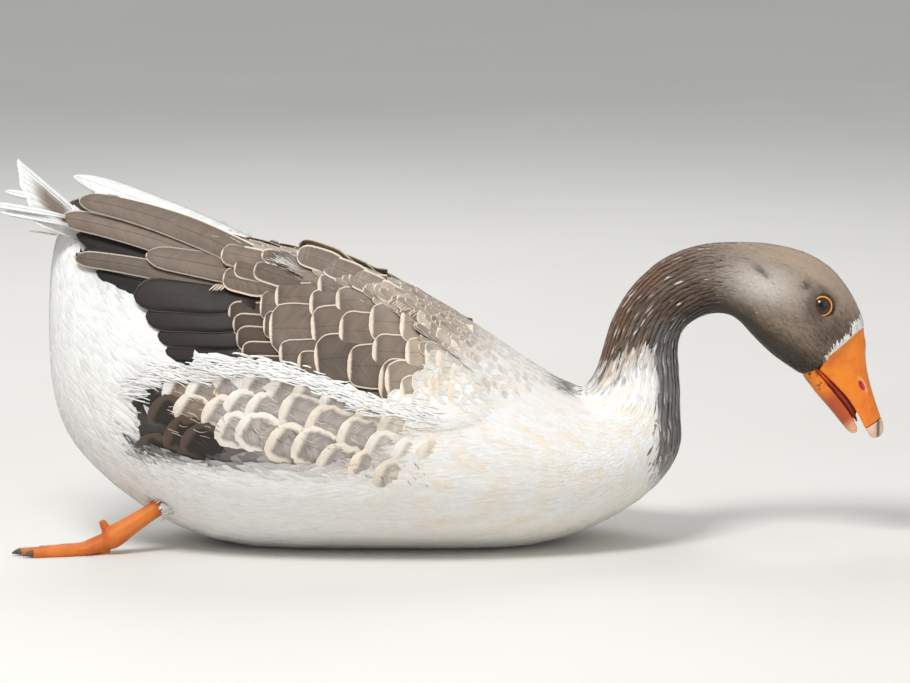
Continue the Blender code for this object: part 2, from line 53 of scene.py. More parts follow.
MM = 0.001
TILT = math.radians(8)  # how far the side drawing looks down
DRAWN_FROM = 0.070  # height that the side drawing is measured from
RIGHT, LEFT = -1, 1
SIDES = ((RIGHT, "right"), (LEFT, "left"))
FLESH = ("trunk", "neck_base", "neck_bend", "neck_nape", "head")
WINGS = ("wing_right", "wing_left")
ARM_END = -0.135  # the wings' flesh stops here, and only feathers go on
LEFT_DROP = 0.0095  # how far the left wing's upper edge is brought down
FLOOR_GAP = 0.0003  # no feather lies nearer to the floor
SOLE_GAP = 0.0001  # nor any foot

# The bird's long axis from bill to tail, x and z
SPINE = (
    (0.2960, 0.1270), (0.2925, 0.1355), (0.2868, 0.1438), (0.2765, 0.1535), (0.2630, 0.1628),
    (0.2498, 0.1708), (0.2378, 0.1768), (0.2233, 0.1793), (0.2085, 0.1785), (0.1938, 0.1738),
    (0.1838, 0.1670), (0.1750, 0.1588), (0.1670, 0.1450), (0.1638, 0.1315), (0.1615, 0.1110),
    (0.1550, 0.0960), (0.1400, 0.0860), (0.1100, 0.0850), (0.0600, 0.0880), (0.0000, 0.0920),
    (-0.0600, 0.0960), (-0.1200, 0.1050), (-0.1700, 0.1250), (-0.2050, 0.1600), (-0.2300, 0.2150),
)


def tint(red, green, blue):
    """The linear colour of one given from 0 to 255."""
    share = np.array((red, green, blue)) / 255
    return np.where(share <= 0.04045, share / 12.92, ((share + 0.055) / 1.055) ** 2.4)


WHITE = tint(234, 233, 230)
CREAM = tint(235, 222, 204)
BEIGE = tint(214, 196, 174)
TAUPE = tint(128, 111, 97)
LILAC = tint(178, 168, 162)
BROWN = tint(98, 80, 66)
UMBER = tint(68, 53, 42)
DARK = tint(38, 31, 27)
RUSSET = tint(106, 76, 56)
# painted shade, for the front of the lower neck
PAINTED_SHADE_SLATE = tint(96, 90, 88)


def ease(value, start, end):
    """0 before start, 1 after end, smooth between; start may be the larger."""
    share = np.clip((np.asarray(value, float) - start) / (end - start), 0, 1)
    return share * share * (3 - 2 * share)


def mixed(first, second, share):
    """Colours (n, 3) from first to second by share (n)."""
    share = np.asarray(share, float)[..., None]
    return np.asarray(first) * (1 - share) + np.asarray(second) * share


def unit(vectors):
    """The vectors at a length of 1."""
    return vectors / np.maximum(np.linalg.norm(vectors, axis=-1, keepdims=True), 1e-9)


WAVES = 7  # how many a noise is summed from


def noise(points, size, seed):
    """A smooth random value about -1 to 1 at each point, by a sum of waves of about that size."""
    draw = np.random.default_rng(seed)
    total = 0
    for _ in range(WAVES):
        heading = unit(draw.normal(size=3))
        wave = heading * 2 * math.pi / (size * draw.uniform(0.7, 1.5))
        total = total + np.sin(points @ wave + draw.uniform(0, 6.3))
    return total / (WAVES / 2)


# ---------------------------------------------------------------- meshes


def only(obj):
    """Makes obj the one selected and active object."""
    bpy.ops.object.select_all(action="DESELECT")
    obj.select_set(True)
    bpy.context.view_layer.objects.active = obj


def apply(obj, kind, **settings):
    """Adds a modifier of that kind and applies it."""
    only(obj)
    modifier = obj.modifiers.new(kind.title(), kind)
    for key, value in settings.items():
        setattr(modifier, key, value)
    bpy.ops.object.modifier_apply(modifier=modifier.name)


def named(name):
    """The active object, shaded smooth, with its turn and place applied, under that name."""
    obj = bpy.context.active_object
    bpy.ops.object.transform_apply(location=True, rotation=True)
    bpy.ops.object.shade_smooth()
    obj.name = obj.data.name = name
    return obj


def copy_of(node, cut_at=None):
    """A merged copy of a CAD node's shape, cut off behind cut_at."""
    obj = bpy.data.objects.new(node + "_copy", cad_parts[node].data.copy())
    bpy.context.scene.collection.objects.link(obj)
    obj.data.materials.clear()
    only(obj)
    bpy.ops.object.mode_set(mode="EDIT")
    bpy.ops.mesh.select_all(action="SELECT")
    bpy.ops.mesh.remove_doubles(threshold=2e-6)
    if cut_at is not None:
        bpy.ops.mesh.bisect(plane_co=(cut_at, 0, 0), plane_no=(1, 0, 0), use_fill=True, clear_inner=True)
    bpy.ops.object.mode_set(mode="OBJECT")
    return obj


def cast_from(name, nodes, swell, voxel, smoothing, cut_at=None, knuckles=()):
    """Those nodes, and balls at knuckles, as one smooth closed body: swollen by a hair, then remeshed."""
    copies = [copy_of(node, cut_at if node in WINGS else None) for node in nodes]
    for x, y, z, radius in knuckles:
        bpy.ops.mesh.primitive_ico_sphere_add(subdivisions=3, radius=radius, location=(x, y, z))
        bpy.ops.object.transform_apply(location=True)
        copies.append(bpy.context.active_object)
    for obj in copies if swell else ():
        apply(obj, "DISPLACE", strength=swell, mid_level=0.0)
    only(copies[0])
    for obj in copies[1:]:
        obj.select_set(True)
    if len(copies) > 1:
        bpy.ops.object.join()
    obj = copies[0]
    apply(obj, "REMESH", mode="VOXEL", voxel_size=voxel)
    apply(obj, "SMOOTH", factor=0.5, iterations=smoothing)
    only(obj)
    return named(name)


def values_of(items, key, width, kind=np.float32):
    """What a mesh keeps under key for each of its items, as rows of that width."""
    values = np.empty(len(items) * width, kind)
    items.foreach_get(key, values)
    return values.reshape(-1, width)


def points_of(mesh):
    return values_of(mesh.vertices, "co", 3).astype(float)


def normals_of(mesh):
    return values_of(mesh.vertex_normals, "vector", 3).astype(float)


def triangles_of(mesh):
    mesh.calc_loop_triangles()
    return values_of(mesh.loop_triangles, "vertices", 3, np.int32)


def tree_of(mesh):
    return BVHTree.FromPolygons(points_of(mesh).tolist(), triangles_of(mesh).tolist())


def move_points(mesh, points):
    mesh.vertices.foreach_set("co", points.astype(np.float32).ravel())
    mesh.update()


def store(mesh, name, kind, values, domain="POINT"):
    """Keeps values on the mesh for the finishes to read."""
    key = {"FLOAT": "value", "FLOAT_VECTOR": "vector", "FLOAT_COLOR": "color"}[kind]
    mesh.attributes.new(name, kind, domain).data.foreach_set(key, values.astype(np.float32).ravel())


def dyed(obj, colour, share):
    """Stores a colour for each point, with the share that the finish takes of it."""
    share = np.broadcast_to(share, len(colour))
    store(obj.data, "dye", "FLOAT_COLOR", np.concatenate([colour, share[:, None]], axis=1))


def fitted(obj, finish, slot, *replaced):
    """Gives a piece its finish, in place of those nodes of the frame; slot is not used."""
    obj.data.materials.append(finishes[finish])
    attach(obj, "root")
    if replaced:
        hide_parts(*replaced)


# ---------------------------------------------------------------- measures of the frame


def lowered(points):
    """The points, with the left wing's upper edge brought down, so that it stays behind the right one's."""
    points = np.array(points, float)
    x, y, z = points[..., 0], points[..., 1], points[..., 2]
    share = ease(y, 0.022, 0.042) * ease(z, 0.160, 0.200) * ease(-x, 0.020, 0.065) * ease(-x, 0.205, 0.150)
    points[..., 2] = z - LEFT_DROP * share
    return points


class Spine:
    """The long axis as closely spaced points, with the distance from the bill along it."""

    AT_ONCE = 4000  # points placed in one go, to spare memory

    def __init__(self, rows, count=240):
        rows = np.array(rows)
        length = np.concatenate([[0], np.cumsum(np.linalg.norm(np.diff(rows, axis=0), axis=1))])
        self.along = np.linspace(0, length[-1], count)
        x, z = (np.interp(self.along, length, rows[:, k]) for k in (0, 1))
        for line in (x, z) * 12:
            line[1:-1] = (line[:-2] + 2 * line[1:-1] + line[2:]) / 4
        self.points = np.stack([x, np.zeros(count), z], axis=1)
        self.headings = unit(np.gradient(self.points, axis=0))

    def place(self, points):
        """Each point's distance from the bill, heading to the tail, and angle round the axis from the top."""
        nearest = np.empty(len(points), int)
        for start in range(0, len(points), self.AT_ONCE):
            part = slice(start, start + self.AT_ONCE)
            off_x, off_z = (points[part, None, k] - self.points[None, :, k] for k in (0, 2))
            nearest[part] = (off_x**2 + off_z**2).argmin(axis=1)
        heading = self.headings[nearest]
        off = points - self.points[nearest]
        over = np.stack([heading[:, 2], np.zeros(len(points)), -heading[:, 0]], axis=1)
        angle = np.arctan2(points[:, 1], (off * over).sum(axis=1))
        return self.along[nearest], heading, angle


SPINE_LINE = Spine(SPINE)
SPINE_LENGTH = SPINE_LINE.along[-1]


class Side:
    """How far out the frame's pieces reach, seen square from one side: y over x and z, carried on past
    the edges. The left side takes heights from the right one's map, near, and lifts long feathers' tips."""

    STEP = 0.002
    X0, X1, Z0, Z1 = -0.300, 0.220, -0.010, 0.290
    FAR_OUT = 0.4  # where the rays start

    def __init__(self, nodes, side, smoothing, near=None, tip_lift=0.0):
        trees = [tree_of(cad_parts[node].data) for node in nodes]
        self.side = side
        self.near = near or self
        self.tip_lift = tip_lift
        self.xs = np.arange(self.X0, self.X1, self.STEP)
        self.zs = np.arange(self.Z0, self.Z1, self.STEP)
        reach = np.full((len(self.xs), len(self.zs)), np.nan)
        aim = Vector((0, -side, 0))
        for i, x in enumerate(self.xs):
            for j, z in enumerate(self.zs):
                hits = [tree.ray_cast(Vector((x, side * self.FAR_OUT, z)), aim)[0] for tree in trees]
                hits = [hit.y * side for hit in hits if hit is not None]
                if hits:
                    reach[i, j] = max(hits)
        self.reach = self.smoothed(self.filled(reach), smoothing)
        self.by_x, self.by_z = np.gradient(self.reach, self.STEP)

    @staticmethod
    def filled(reach):
        """Cells that nothing reaches take their neighbours' mean, spreading outwards."""
        known = ~np.isnan(reach)
        value = np.where(known, reach, 0.0)
        while not known.all():
            total, count = np.zeros_like(value), np.zeros_like(value)
            padded, mask = np.pad(value * known, 1), np.pad(known, 1)
            for di, dj in ((0, 1), (2, 1), (1, 0), (1, 2), (0, 0), (0, 2), (2, 0), (2, 2)):
                part = (slice(di, di + value.shape[0]), slice(dj, dj + value.shape[1]))
                total += padded[part]
                count += mask[part]
            fresh = ~known & (count > 0)
            value[fresh] = total[fresh] / count[fresh]
            known |= fresh
        return value

    @staticmethod
    def smoothed(reach, passes):
        """Evens out each cell with its four neighbours."""
        for _ in range(passes):
            wide = np.pad(reach, 1, mode="edge")
            reach = (wide[:-2, 1:-1] + wide[2:, 1:-1] + wide[1:-1, :-2] + wide[1:-1, 2:] + 4 * reach) / 8
        return reach

    def read(self, grid, x, z):
        """The grid's value at x and z, between its cells."""
        i = np.clip((x - self.X0) / self.STEP, 0, len(self.xs) - 1.001)
        j = np.clip((z - self.Z0) / self.STEP, 0, len(self.zs) - 1.001)
        i0, j0 = i.astype(int), j.astype(int)
        a, b = i - i0, j - j0
        near = grid[i0, j0] * (1 - b) + grid[i0, j0 + 1] * b
        far = grid[i0 + 1, j0] * (1 - b) + grid[i0 + 1, j0 + 1] * b
        return near * (1 - a) + far * a

    def height(self, x, high):
        """The z at which a point of the side drawing, high over its zero line, lies on the near side."""
        z = DRAWN_FROM + high / math.cos(TILT)
        for _ in range(10):
            z = DRAWN_FROM + (high + self.read(self.reach, x, z) * math.sin(TILT)) / math.cos(TILT)
        return z

    def lay(self, x, z, off):
        """Points at x and z, off metres outside the surface, and the surface's outward direction there."""
        slope_x, slope_z = self.read(self.by_x, x, z), self.read(self.by_z, x, z)
        out = unit(np.stack([-slope_x, np.full_like(x, 1.0), -slope_z], axis=-1))
        out[..., 1] *= self.side
        base = np.stack([x, self.side * self.read(self.reach, x, z), z], axis=-1)
        return base + out * off[..., None], out


# ---------------------------------------------------------------- feathers


LONGEST_TIP = 0.6  # the most of a vane's length that its tip may take
TIP_TURN = math.radians(81)  # how far round the tip its last row lies
WIDENED = 0.45  # share of the length at which a vane has its full width


def outline(length, half, rows, tip_rows, blunt, stretch, root_share, taper=0.0):
    """Where a vane's rows lie along it, and its half width there. The last tip_rows round off the tip."""
    tip = np.minimum(LONGEST_TIP, half * stretch / length)[:, None]
    run = np.linspace(0, 1, rows - tip_rows, endpoint=False)[None] * (1 - tip)
    turn = np.linspace(0, TIP_TURN, tip_rows)[None]
    along = np.concatenate([run, 1 - tip + tip * np.sin(turn) ** (2 / blunt)], axis=1)
    widening = root_share + (1 - root_share) * ease(run, 0.0, WIDENED)
    closing = np.broadcast_to(np.cos(turn) ** (2 / blunt), (len(length), tip_rows))
    share = np.concatenate([widening, closing], axis=1) * (1 - taper * along)
    return along, half[:, None] * share


CELL_RIM = 0.06  # of a cell of the bake map, left free round its feather


def grid_bake(count, along, columns):
    """Each feather's own cell of the bake map."""
    side = math.ceil(math.sqrt(count))
    cell = np.arange(count)
    corner = np.stack([cell % side, cell // side], axis=1)[:, None, None, :]
    across = np.broadcast_to(np.linspace(CELL_RIM, 1 - CELL_RIM, columns), (*along.shape, columns))
    ahead = np.broadcast_to(CELL_RIM + (1 - 2 * CELL_RIM) * along[..., None], across.shape)
    return (corner + np.stack([across, ahead], axis=-1)) / side


class Plumage:
    """Gathers feathers as arrays and makes them one mesh."""

    def __init__(self, name):
        self.name = name
        self.batches = []

    def add(self, draw, points, along, length, width, edge, dye, hem, *, hem_width=1.0, side_ratio=1.0,
            shaft=0.0, pattern=0.0, bake=None, facing=None):
        """points (k, rows, columns, 3) of the upper faces; along (k, rows) is each row's share of the length
        (k), width (k, rows) its half width, and edge (columns) runs across it from -1 to 1. dye (k, rows, 3)
        and hem (k, 3) may be one for all. hem_width is in mm, and side_ratio times narrower along the sides;
        shaft and pattern are how dark the shaft is and how strong the barbs are. bake is each point's place
        on the bake map. facing is the way the upper faces are shaded to face, as strongly as it is long."""
        count, rows, columns = shape = points.shape[:3]
        index = np.arange(rows * columns).reshape(rows, columns)
        steps = range(rows - 1)
        upper = [
            (index[i, j], index[i, j + 1], index[i + 1, j + 1], index[i + 1, j])
            for i in steps
            for j in range(columns - 1)
        ]
        under = [(index[i, 0], index[i + 1, 0], index[i + 1, -1], index[i, -1]) for i in steps]
        faces = [*upper, *under, tuple(index[0, ::-1]), tuple(index[-1])]
        half, ahead = width[..., None], ((1 - along) * length[:, None])[..., None]
        dye, hem = np.broadcast_to(dye, (count, rows, 3)), np.broadcast_to(hem, (count, 3))
        paint = np.concatenate([dye, np.full((count, rows, 1), pattern)], axis=-1)
        trim = np.concatenate([hem, np.full((count, 1), hem_width / 10)], axis=1)
        kind = np.stack([draw.random(count), np.full(count, side_ratio), np.full(count, shaft)], axis=1)
        self.batches.append({
            "corners": np.concatenate(faces),
            "sizes": np.array([len(face) for face in faces]),
            "smooth": np.arange(len(faces)) < len(upper),
            "points": points,
            "vane": np.stack(np.broadcast_arrays(half * edge, half, ahead), axis=-1),
            "dye": np.broadcast_to(paint[:, :, None], (*shape, 4)),
            "hem": np.broadcast_to(trim[:, None, None], (*shape, 4)),
            "kind": np.broadcast_to(kind[:, None, None], (*shape, 3)),
            "bake": grid_bake(count, along, columns) if bake is None else bake,
            "facing": np.zeros(points.shape) if facing is None else facing,
        })

    @staticmethod
    def soften(mesh, facing, upper):
        """Turns the shading of the upper faces towards facing."""
        own = values_of(mesh.corner_normals, "vector", 3)
        strength = np.linalg.norm(facing, axis=1, keepdims=True)
        turned = unit(facing + own * (1 - strength))
        store(mesh, "custom_normal", "FLOAT_VECTOR", np.where(upper[:, None], turned, own), "CORNER")

    def gathered(self, key):
        return np.concatenate([batch[key].reshape(-1, batch[key].shape[-1]) for batch in self.batches])

    def make(self, slot, *replaced):
        """One mesh of all the feathers, fitted to the frame."""
        corners, sizes, smooth = [], [], []
        first = 0
        for batch in self.batches:
            count, rows, columns = batch["points"].shape[:3]
            own = rows * columns
            corners.append((batch["corners"] + first + np.arange(count)[:, None] * own).ravel())
            sizes.append(np.tile(batch["sizes"], count))
            smooth.append(np.tile(batch["smooth"], count))
            first += count * own
        corners, sizes, smooth = (np.concatenate(part) for part in (corners, sizes, smooth))
        mesh = bpy.data.meshes.new(self.name)
        mesh.vertices.add(first)
        points = self.gathered("points")
        points[:, 2] = np.maximum(points[:, 2], FLOOR_GAP)
        mesh.vertices.foreach_set("co", points.astype(np.float32).ravel())
        mesh.loops.add(len(corners))
        mesh.loops.foreach_set("vertex_index", corners.astype(np.int32))
        mesh.polygons.add(len(sizes))
        mesh.polygons.foreach_set("loop_start", (np.cumsum(sizes) - sizes).astype(np.int32))
        mesh.update(calc_edges=True)
        mesh.polygons.foreach_set("use_smooth", smooth)
        for key, kind in (("vane", "VECTOR"), ("dye", "COLOR"), ("hem", "COLOR"), ("kind", "VECTOR")):
            store(mesh, key, "FLOAT_" + kind, self.gathered(key))
        bake = self.gathered("bake")[corners]
        mesh.uv_layers.new(name="OFBake").data.foreach_set("uv", bake.astype(np.float32).ravel())
        mesh.validate()
        facing = self.gathered("facing")
        if facing.any() and len(mesh.loops) == len(corners):
            self.soften(mesh, facing[corners], np.repeat(smooth, sizes))
        obj = bpy.data.objects.new(self.name, mesh)
        bpy.context.scene.collection.objects.link(obj)
        fitted(obj, "plumage", slot, *replaced)


LIFTED = (0.125, 0.215)  # how far back the lift of the left wing's tips begins, and where it is whole


def drawn_vanes(coat, side, rows_of, seed, *, rows=12, tip_rows=5, columns=7, blunt=2.2, stretch=1.0,
                taper=0.0, root_share=0.5, sink=0.003, rise=0.0, roll=0.0, camber=0.0008, step=0.0,
                jitter=0.0, ragged=0.0, soft=0.0, tone_spread=0.05, dye=TAUPE, hem=BEIGE, shaft=0.4,
                pattern=0.5, **trim):
    """Feathers set out in the side drawing. A row of rows_of is tip x, tip height, root x, root height,
    half width and, if given, bend, lift and tone, all but tone in millimetres. sink and rise are how far the
    roots and tips stand off the surface, roll turns the upper edge out, and step lifts each over the last."""
    draw = np.random.default_rng(seed)
    table = np.array([tuple(row) + (0.0, 0.0, 1.0)[len(row) - 5 :] for row in rows_of], float)
    count = len(table)
    tip, root = table[:, 0:2] * MM, table[:, 2:4] * MM
    half, bend, lift, tone = (table[:, 4:] * (MM, MM, MM, 1)).T
    if jitter:
        tip = tip + draw.normal(size=tip.shape) * jitter * MM
        root = root + draw.normal(size=root.shape) * jitter * MM
        half = half * draw.uniform(0.92, 1.08, count)
    axis = tip - root
    length = np.linalg.norm(axis, axis=1)
    axis = axis / length[:, None]
    over = np.stack([-axis[:, 1], axis[:, 0]], axis=1)
    over *= np.sign(over[:, 1:2] + 1e-9)
    along, width = outline(length, half, rows, tip_rows, blunt, stretch, root_share, taper)
    edge = np.linspace(-1, 1, columns)
    if ragged:
        width = width * (1 - ragged * draw.random(width.shape) * (along > 0.3))
    centre = root[:, None] + axis[:, None] * (along * length[:, None])[..., None]
    centre = centre + over[:, None] * (bend[:, None] * 4 * along * (1 - along))[..., None]
    flat = centre[:, :, None] + over[:, None, None] * (width[..., None] * edge)[..., None]
    x, high = flat[..., 0], flat[..., 1]
    z = side.near.height(x, high) + side.tip_lift * ease(-x, *LIFTED)
    off = -sink + (sink + rise) * along[..., None] + roll * edge * ease(along, 0, 0.5)[..., None]
    off = off + camber * (1 - edge**2) + lift[:, None, None] + step * np.arange(count)[:, None, None]
    points, out = side.lay(x, z, off)
    points = lowered(points)
    shade = tone * draw.normal(1.0, tone_spread, count)
    dye = (np.broadcast_to(dye, (count, 3)) * shade[:, None])[:, None]
    hem = np.broadcast_to(hem, (count, 3)) * draw.normal(1.0, 0.03, (count, 1))
    if (side.side == RIGHT) != (axis[:, 0].mean() < 0):
        points, out, edge = points[:, :, ::-1], out[:, :, ::-1], edge[::-1]
    coat.add(draw, points, along, length, width, edge, dye, hem, shaft=shaft, pattern=pattern,
             facing=out * soft, **trim)


def free_vanes(coat, roots, tips, half, facing, seed, *, rows=7, tip_rows=3, columns=3, blunt=2.0,
               stretch=2.0, root_share=0.5, taper=0.0, bend=0.0, camber=0.0003, dye=WHITE, **trim):
    """Feathers from roots to tips in space, each turned to face its own way and arched out by bend."""
    draw = np.random.default_rng(seed)
    roots, tips = np.array(roots, float), np.array(tips, float)
    half = np.broadcast_to(half, len(roots))
    axis = tips - roots
    length = np.linalg.norm(axis, axis=1)
    axis = axis / length[:, None]
    facing = np.broadcast_to(facing, roots.shape)
    facing = unit(facing - axis * (facing * axis).sum(axis=1, keepdims=True))
    beside = np.cross(axis, facing)
    along, width = outline(length, half, rows, tip_rows, blunt, stretch, root_share, taper)
    edge = np.linspace(-1, 1, columns)
    arch = facing[:, None] * (bend * 4 * along * (1 - along))[..., None]
    centre = roots[:, None] + axis[:, None] * (along * length[:, None])[..., None] + arch
    points = centre[:, :, None] + beside[:, None, None] * (width[..., None] * edge)[..., None]
    points = points + facing[:, None, None] * (camber * (1 - edge**2))[None, None, :, None]
    shade = draw.normal(1.0, 0.04, len(roots))[:, None, None]
    trim = {"shaft": 0.2, "pattern": 0.2, **trim}
    coat.add(draw, points, along, length, width, edge, dye * shade, dye, hem_width=0.0, **trim)


# ---------------------------------------------------------------- finishes

finishes = {}


class Finish:
    """A node material in the making: links and values by short calls."""

    def __init__(self, name, roughness=0.6, **settings):
        made = bpy.data.materials.new(name)
        made.use_nodes = True
        self.tree = made.node_tree
        self.shader = self.tree.nodes["Principled BSDF"]
        self.set(self.shader, Roughness=roughness)
        for key, value in settings.items():
            self.set(self.shader, **{key.replace("_", " "): value})
        finishes[name] = made

    def set(self, node, **values):
        """Links or sets a node's inputs, by name or, as i0, i1 and so on, by number."""
        for key, value in values.items():
            socket = node.inputs[int(key[1:])] if key[0] == "i" and key[1:].isdigit() else node.inputs[key]
            if isinstance(value, bpy.types.NodeSocket):
                self.tree.links.new(value, socket)
            elif socket.type == "RGBA":
                socket.default_value = (*value, 1)
            else:
                socket.default_value = value

    def node(self, kind, **settings):
        made = self.tree.nodes.new("ShaderNode" + kind)
        for key, value in settings.items():
            setattr(made, key, value)
        return made

    def attribute(self, name):
        return self.node("Attribute", attribute_type="GEOMETRY", attribute_name=name)

    def math(self, operation, *values):
        made = self.node("Math", operation=operation)
        self.set(made, **{f"i{i}": value for i, value in enumerate(values)})
        return made.outputs[0]

    def times(self, first, second):
        return self.math("MULTIPLY", first, second)

    def plus(self, first, second):
        return self.math("ADD", first, second)

    def minus(self, first, second):
        return self.math("SUBTRACT", first, second)

    def span(self, value, low, high, start=0.0, end=1.0):
        """value from low to high, eased, as start to end."""
        made = self.node("MapRange", interpolation_type="SMOOTHSTEP")
        self.set(made, i0=value, i1=low, i2=high, i3=start, i4=end)
        return made.outputs[0]

    def mix(self, share, first, second, blend="MIX"):
        made = self.node("Mix", data_type="RGBA", blend_type=blend)
        self.set(made, i0=share, i6=first, i7=second)
        return made.outputs[2]

    def shaded(self, colour, level):
        """The colour times a number."""
        grey = self.node("CombineColor")
        self.set(grey, Red=level, Green=level, Blue=level)
        return self.mix(1.0, colour, grey.outputs[0], "MULTIPLY")

    def parts(self, vector):
        made = self.node("SeparateXYZ")
        self.set(made, Vector=vector)
        return made.outputs

    def noise(self, vector, scale, detail=2.0, roughness=0.5):
        made = self.node("TexNoise")
        self.set(made, Vector=vector, Scale=scale, Detail=detail, Roughness=roughness)
        return made.outputs[0]

    def noise_at(self, x, y, z, detail, roughness=0.5):
        """Noise over a place put together from three values."""
        made = self.node("CombineXYZ")
        self.set(made, X=x, Y=y, Z=z)
        return self.noise(made.outputs[0], 1.0, detail, roughness)

    def object_place(self):
        return self.node("TexCoord").outputs["Object"]

    def finish(self, colour, height=None, distance=0.0, strength=1.0):
        """Gives the shader its colour and, from a height, its bumps."""
        self.set(self.shader, **{"Base Color": colour})
        if height is not None:
            made = self.node("Bump")
            self.set(made, Height=height, Distance=distance, Strength=strength)
            self.set(self.shader, Normal=made.outputs[0])


def feather_finish():
    """The feather's own dye, with a pale hem, a darker band inside it, a shaft and fine barbs."""
    f = Finish("plumage", roughness=0.62, Specular_IOR_Level=0.35, Sheen_Weight=0.12, Sheen_Roughness=0.5)
    across, half, ahead = f.parts(f.attribute("vane").outputs["Vector"])
    beside = f.math("ABSOLUTE", across)
    dye, hem = f.attribute("dye"), f.attribute("hem")
    lot, side_ratio, shaft_share = f.parts(f.attribute("kind").outputs["Vector"])
    pattern = dye.outputs["Alpha"]
    width = f.times(hem.outputs["Alpha"], 0.01)
    from_side = f.times(f.minus(half, beside), side_ratio)
    edge = f.math("MINIMUM", from_side, ahead)
    # barbs run outwards and forwards from the shaft
    barb = f.plus(ahead, f.times(beside, -0.75))
    fine = f.noise_at(f.times(barb, 900.0), f.times(beside, 60.0), f.times(lot, 37.0), 3.0, 0.6)
    patch = f.noise_at(f.times(barb, 160.0), f.times(across, 90.0), f.times(lot, 91.0), 2.0)
    # the hem's inner line wavers with the barbs
    waver = f.times(f.minus(fine, 0.5), f.times(width, 0.9))
    near_hem = f.minus(f.plus(edge, waver), width)
    soft = f.math("DIVIDE", near_hem, f.plus(f.times(width, 0.30), 0.0002))
    hem_share = f.times(f.span(soft, 1.0, -1.0), f.math("GREATER_THAN", width, 0.0001))
    inner = f.span(near_hem, 0.0, 0.0075, 0.70, 1.06)
    inner = f.plus(f.times(pattern, f.minus(inner, 1.0)), 1.0)
    texture = f.plus(f.span(fine, 0.25, 0.75, -0.12, 0.12), f.span(patch, 0.3, 0.7, -0.10, 0.10))
    texture = f.times(texture, f.plus(0.25, pattern))
    vane = f.shaded(dye.outputs["Color"], f.times(inner, f.plus(1.0, texture)))
    shaft = f.times(f.span(beside, 0.00055, 0.0002), f.span(ahead, 0.001, 0.004))
    vane = f.mix(f.times(shaft, shaft_share), vane, DARK)
    hem_colour = f.shaded(hem.outputs["Color"], f.span(fine, 0.2, 0.8, 0.88, 1.08))
    relief = f.times(fine, f.plus(f.times(pattern, 0.9), 0.1))
    f.finish(f.mix(hem_share, vane, hem_colour), f.plus(relief, f.times(shaft, 0.5)), 0.00022, 0.6)


def skin_finish():
    """Skin and down under the feathers, in the same markings."""
    f = Finish("down", roughness=0.85, Specular_IOR_Level=0.2)
    fluff = f.noise(f.object_place(), 420.0, 4.0, 0.65)
    colour = f.shaded(f.attribute("dye").outputs["Color"], f.span(fluff, 0.3, 0.7, 0.75, 1.1))
    f.finish(colour, fluff, 0.0012, 0.8)


def bill_finish(name, base, deep, pale):
    """Horn with a damp gloss: veined and mottled between its colours, over fine wrinkles."""
    f = Finish(name, roughness=0.36, Specular_IOR_Level=0.5, Coat_Weight=0.15, Coat_Roughness=0.25)
    place = f.object_place()
    cloud = f.noise(place, 90.0, 3.0, 0.6)
    grain = f.noise(place, 900.0, 3.0, 0.6)
    colour = f.mix(f.span(cloud, 0.35, 0.75), base, deep)
    colour = f.mix(f.span(grain, 0.55, 0.8, 0.0, 0.5), colour, pale)
    mark = f.attribute("dye")
    colour = f.mix(mark.outputs["Alpha"], colour, mark.outputs["Color"])
    f.finish(colour, f.plus(grain, f.times(cloud, 1.5)), 0.0003, 0.5)


def leg_finish():
    """Orange leather with small scales."""
    f = Finish("webbed_leather", roughness=0.48, Specular_IOR_Level=0.45)
    place = f.object_place()
    scales = f.node("TexVoronoi", feature="DISTANCE_TO_EDGE")
    f.set(scales, Vector=place, Scale=1250.0)
    cloud = f.noise(place, 70.0, 3.0)
    colour = f.mix(f.span(cloud, 0.35, 0.7), tint(226, 128, 44), tint(196, 92, 30))
    crease = f.span(scales.outputs[0], 0.0, 0.12)
    f.finish(f.mix(crease, tint(204, 104, 38), colour), crease, 0.00025, 0.6)


def grained_finish(name, roughness, scale, light, deep, distance, strength):
    """Two colours and their bumps in one fine grain, for the claws and the lids."""
    f = Finish(name, roughness=roughness)
    grain = f.noise(f.object_place(), scale, 2.0)
    f.finish(f.mix(f.span(grain, 0.3, 0.7), light, deep), grain, distance, strength)


def eye_finish():
    """Dark brown iris round a black pupil, by distance from the eye's own axis, stored on the eyeball."""
    f = Finish("eyeball", roughness=0.3, Specular_IOR_Level=0.0, Coat_Weight=1.0, Coat_Roughness=0.02)
    away = f.attribute("away").outputs["Fac"]
    fibre = f.noise(f.object_place(), 2400.0, 2.0)
    iris = f.mix(f.span(fibre, 0.3, 0.7), tint(48, 26, 15), tint(80, 46, 24))
    colour = f.mix(f.span(away, 0.0029, 0.0033), tint(6, 5, 4), iris)
    f.finish(f.mix(f.span(away, 0.0046, 0.0054), colour, tint(20, 12, 9)))


def floor_finish():
    f = Finish("studio_floor", roughness=0.8)
    cloud = f.noise(f.object_place(), 3.0, 2.0)
    f.finish(f.mix(cloud, tint(214, 212, 206), tint(222, 220, 215)))


feather_finish()
skin_finish()
bill_finish("bill_orange", tint(238, 132, 8), tint(224, 106, 8), tint(248, 162, 44))
bill_finish("bill_nail_ivory", tint(232, 196, 170), tint(214, 168, 140), tint(246, 226, 208))
bill_finish("mouth_red", tint(150, 44, 28), tint(110, 30, 22), tint(200, 90, 60))
leg_finish()
grained_finish("claw_horn", 0.4, 500.0, tint(70, 54, 44), tint(120, 96, 76), 0.0002, 0.4)
grained_finish("eye_ring", 0.45, 1500.0, tint(240, 172, 58), tint(222, 138, 36), 0.0003, 0.6)
grained_finish("lid_skin", 0.45, 1500.0, tint(58, 44, 36), tint(38, 29, 24), 0.0003, 0.6)
eye_finish()
floor_finish()

# ---------------------------------------------------------------- markings

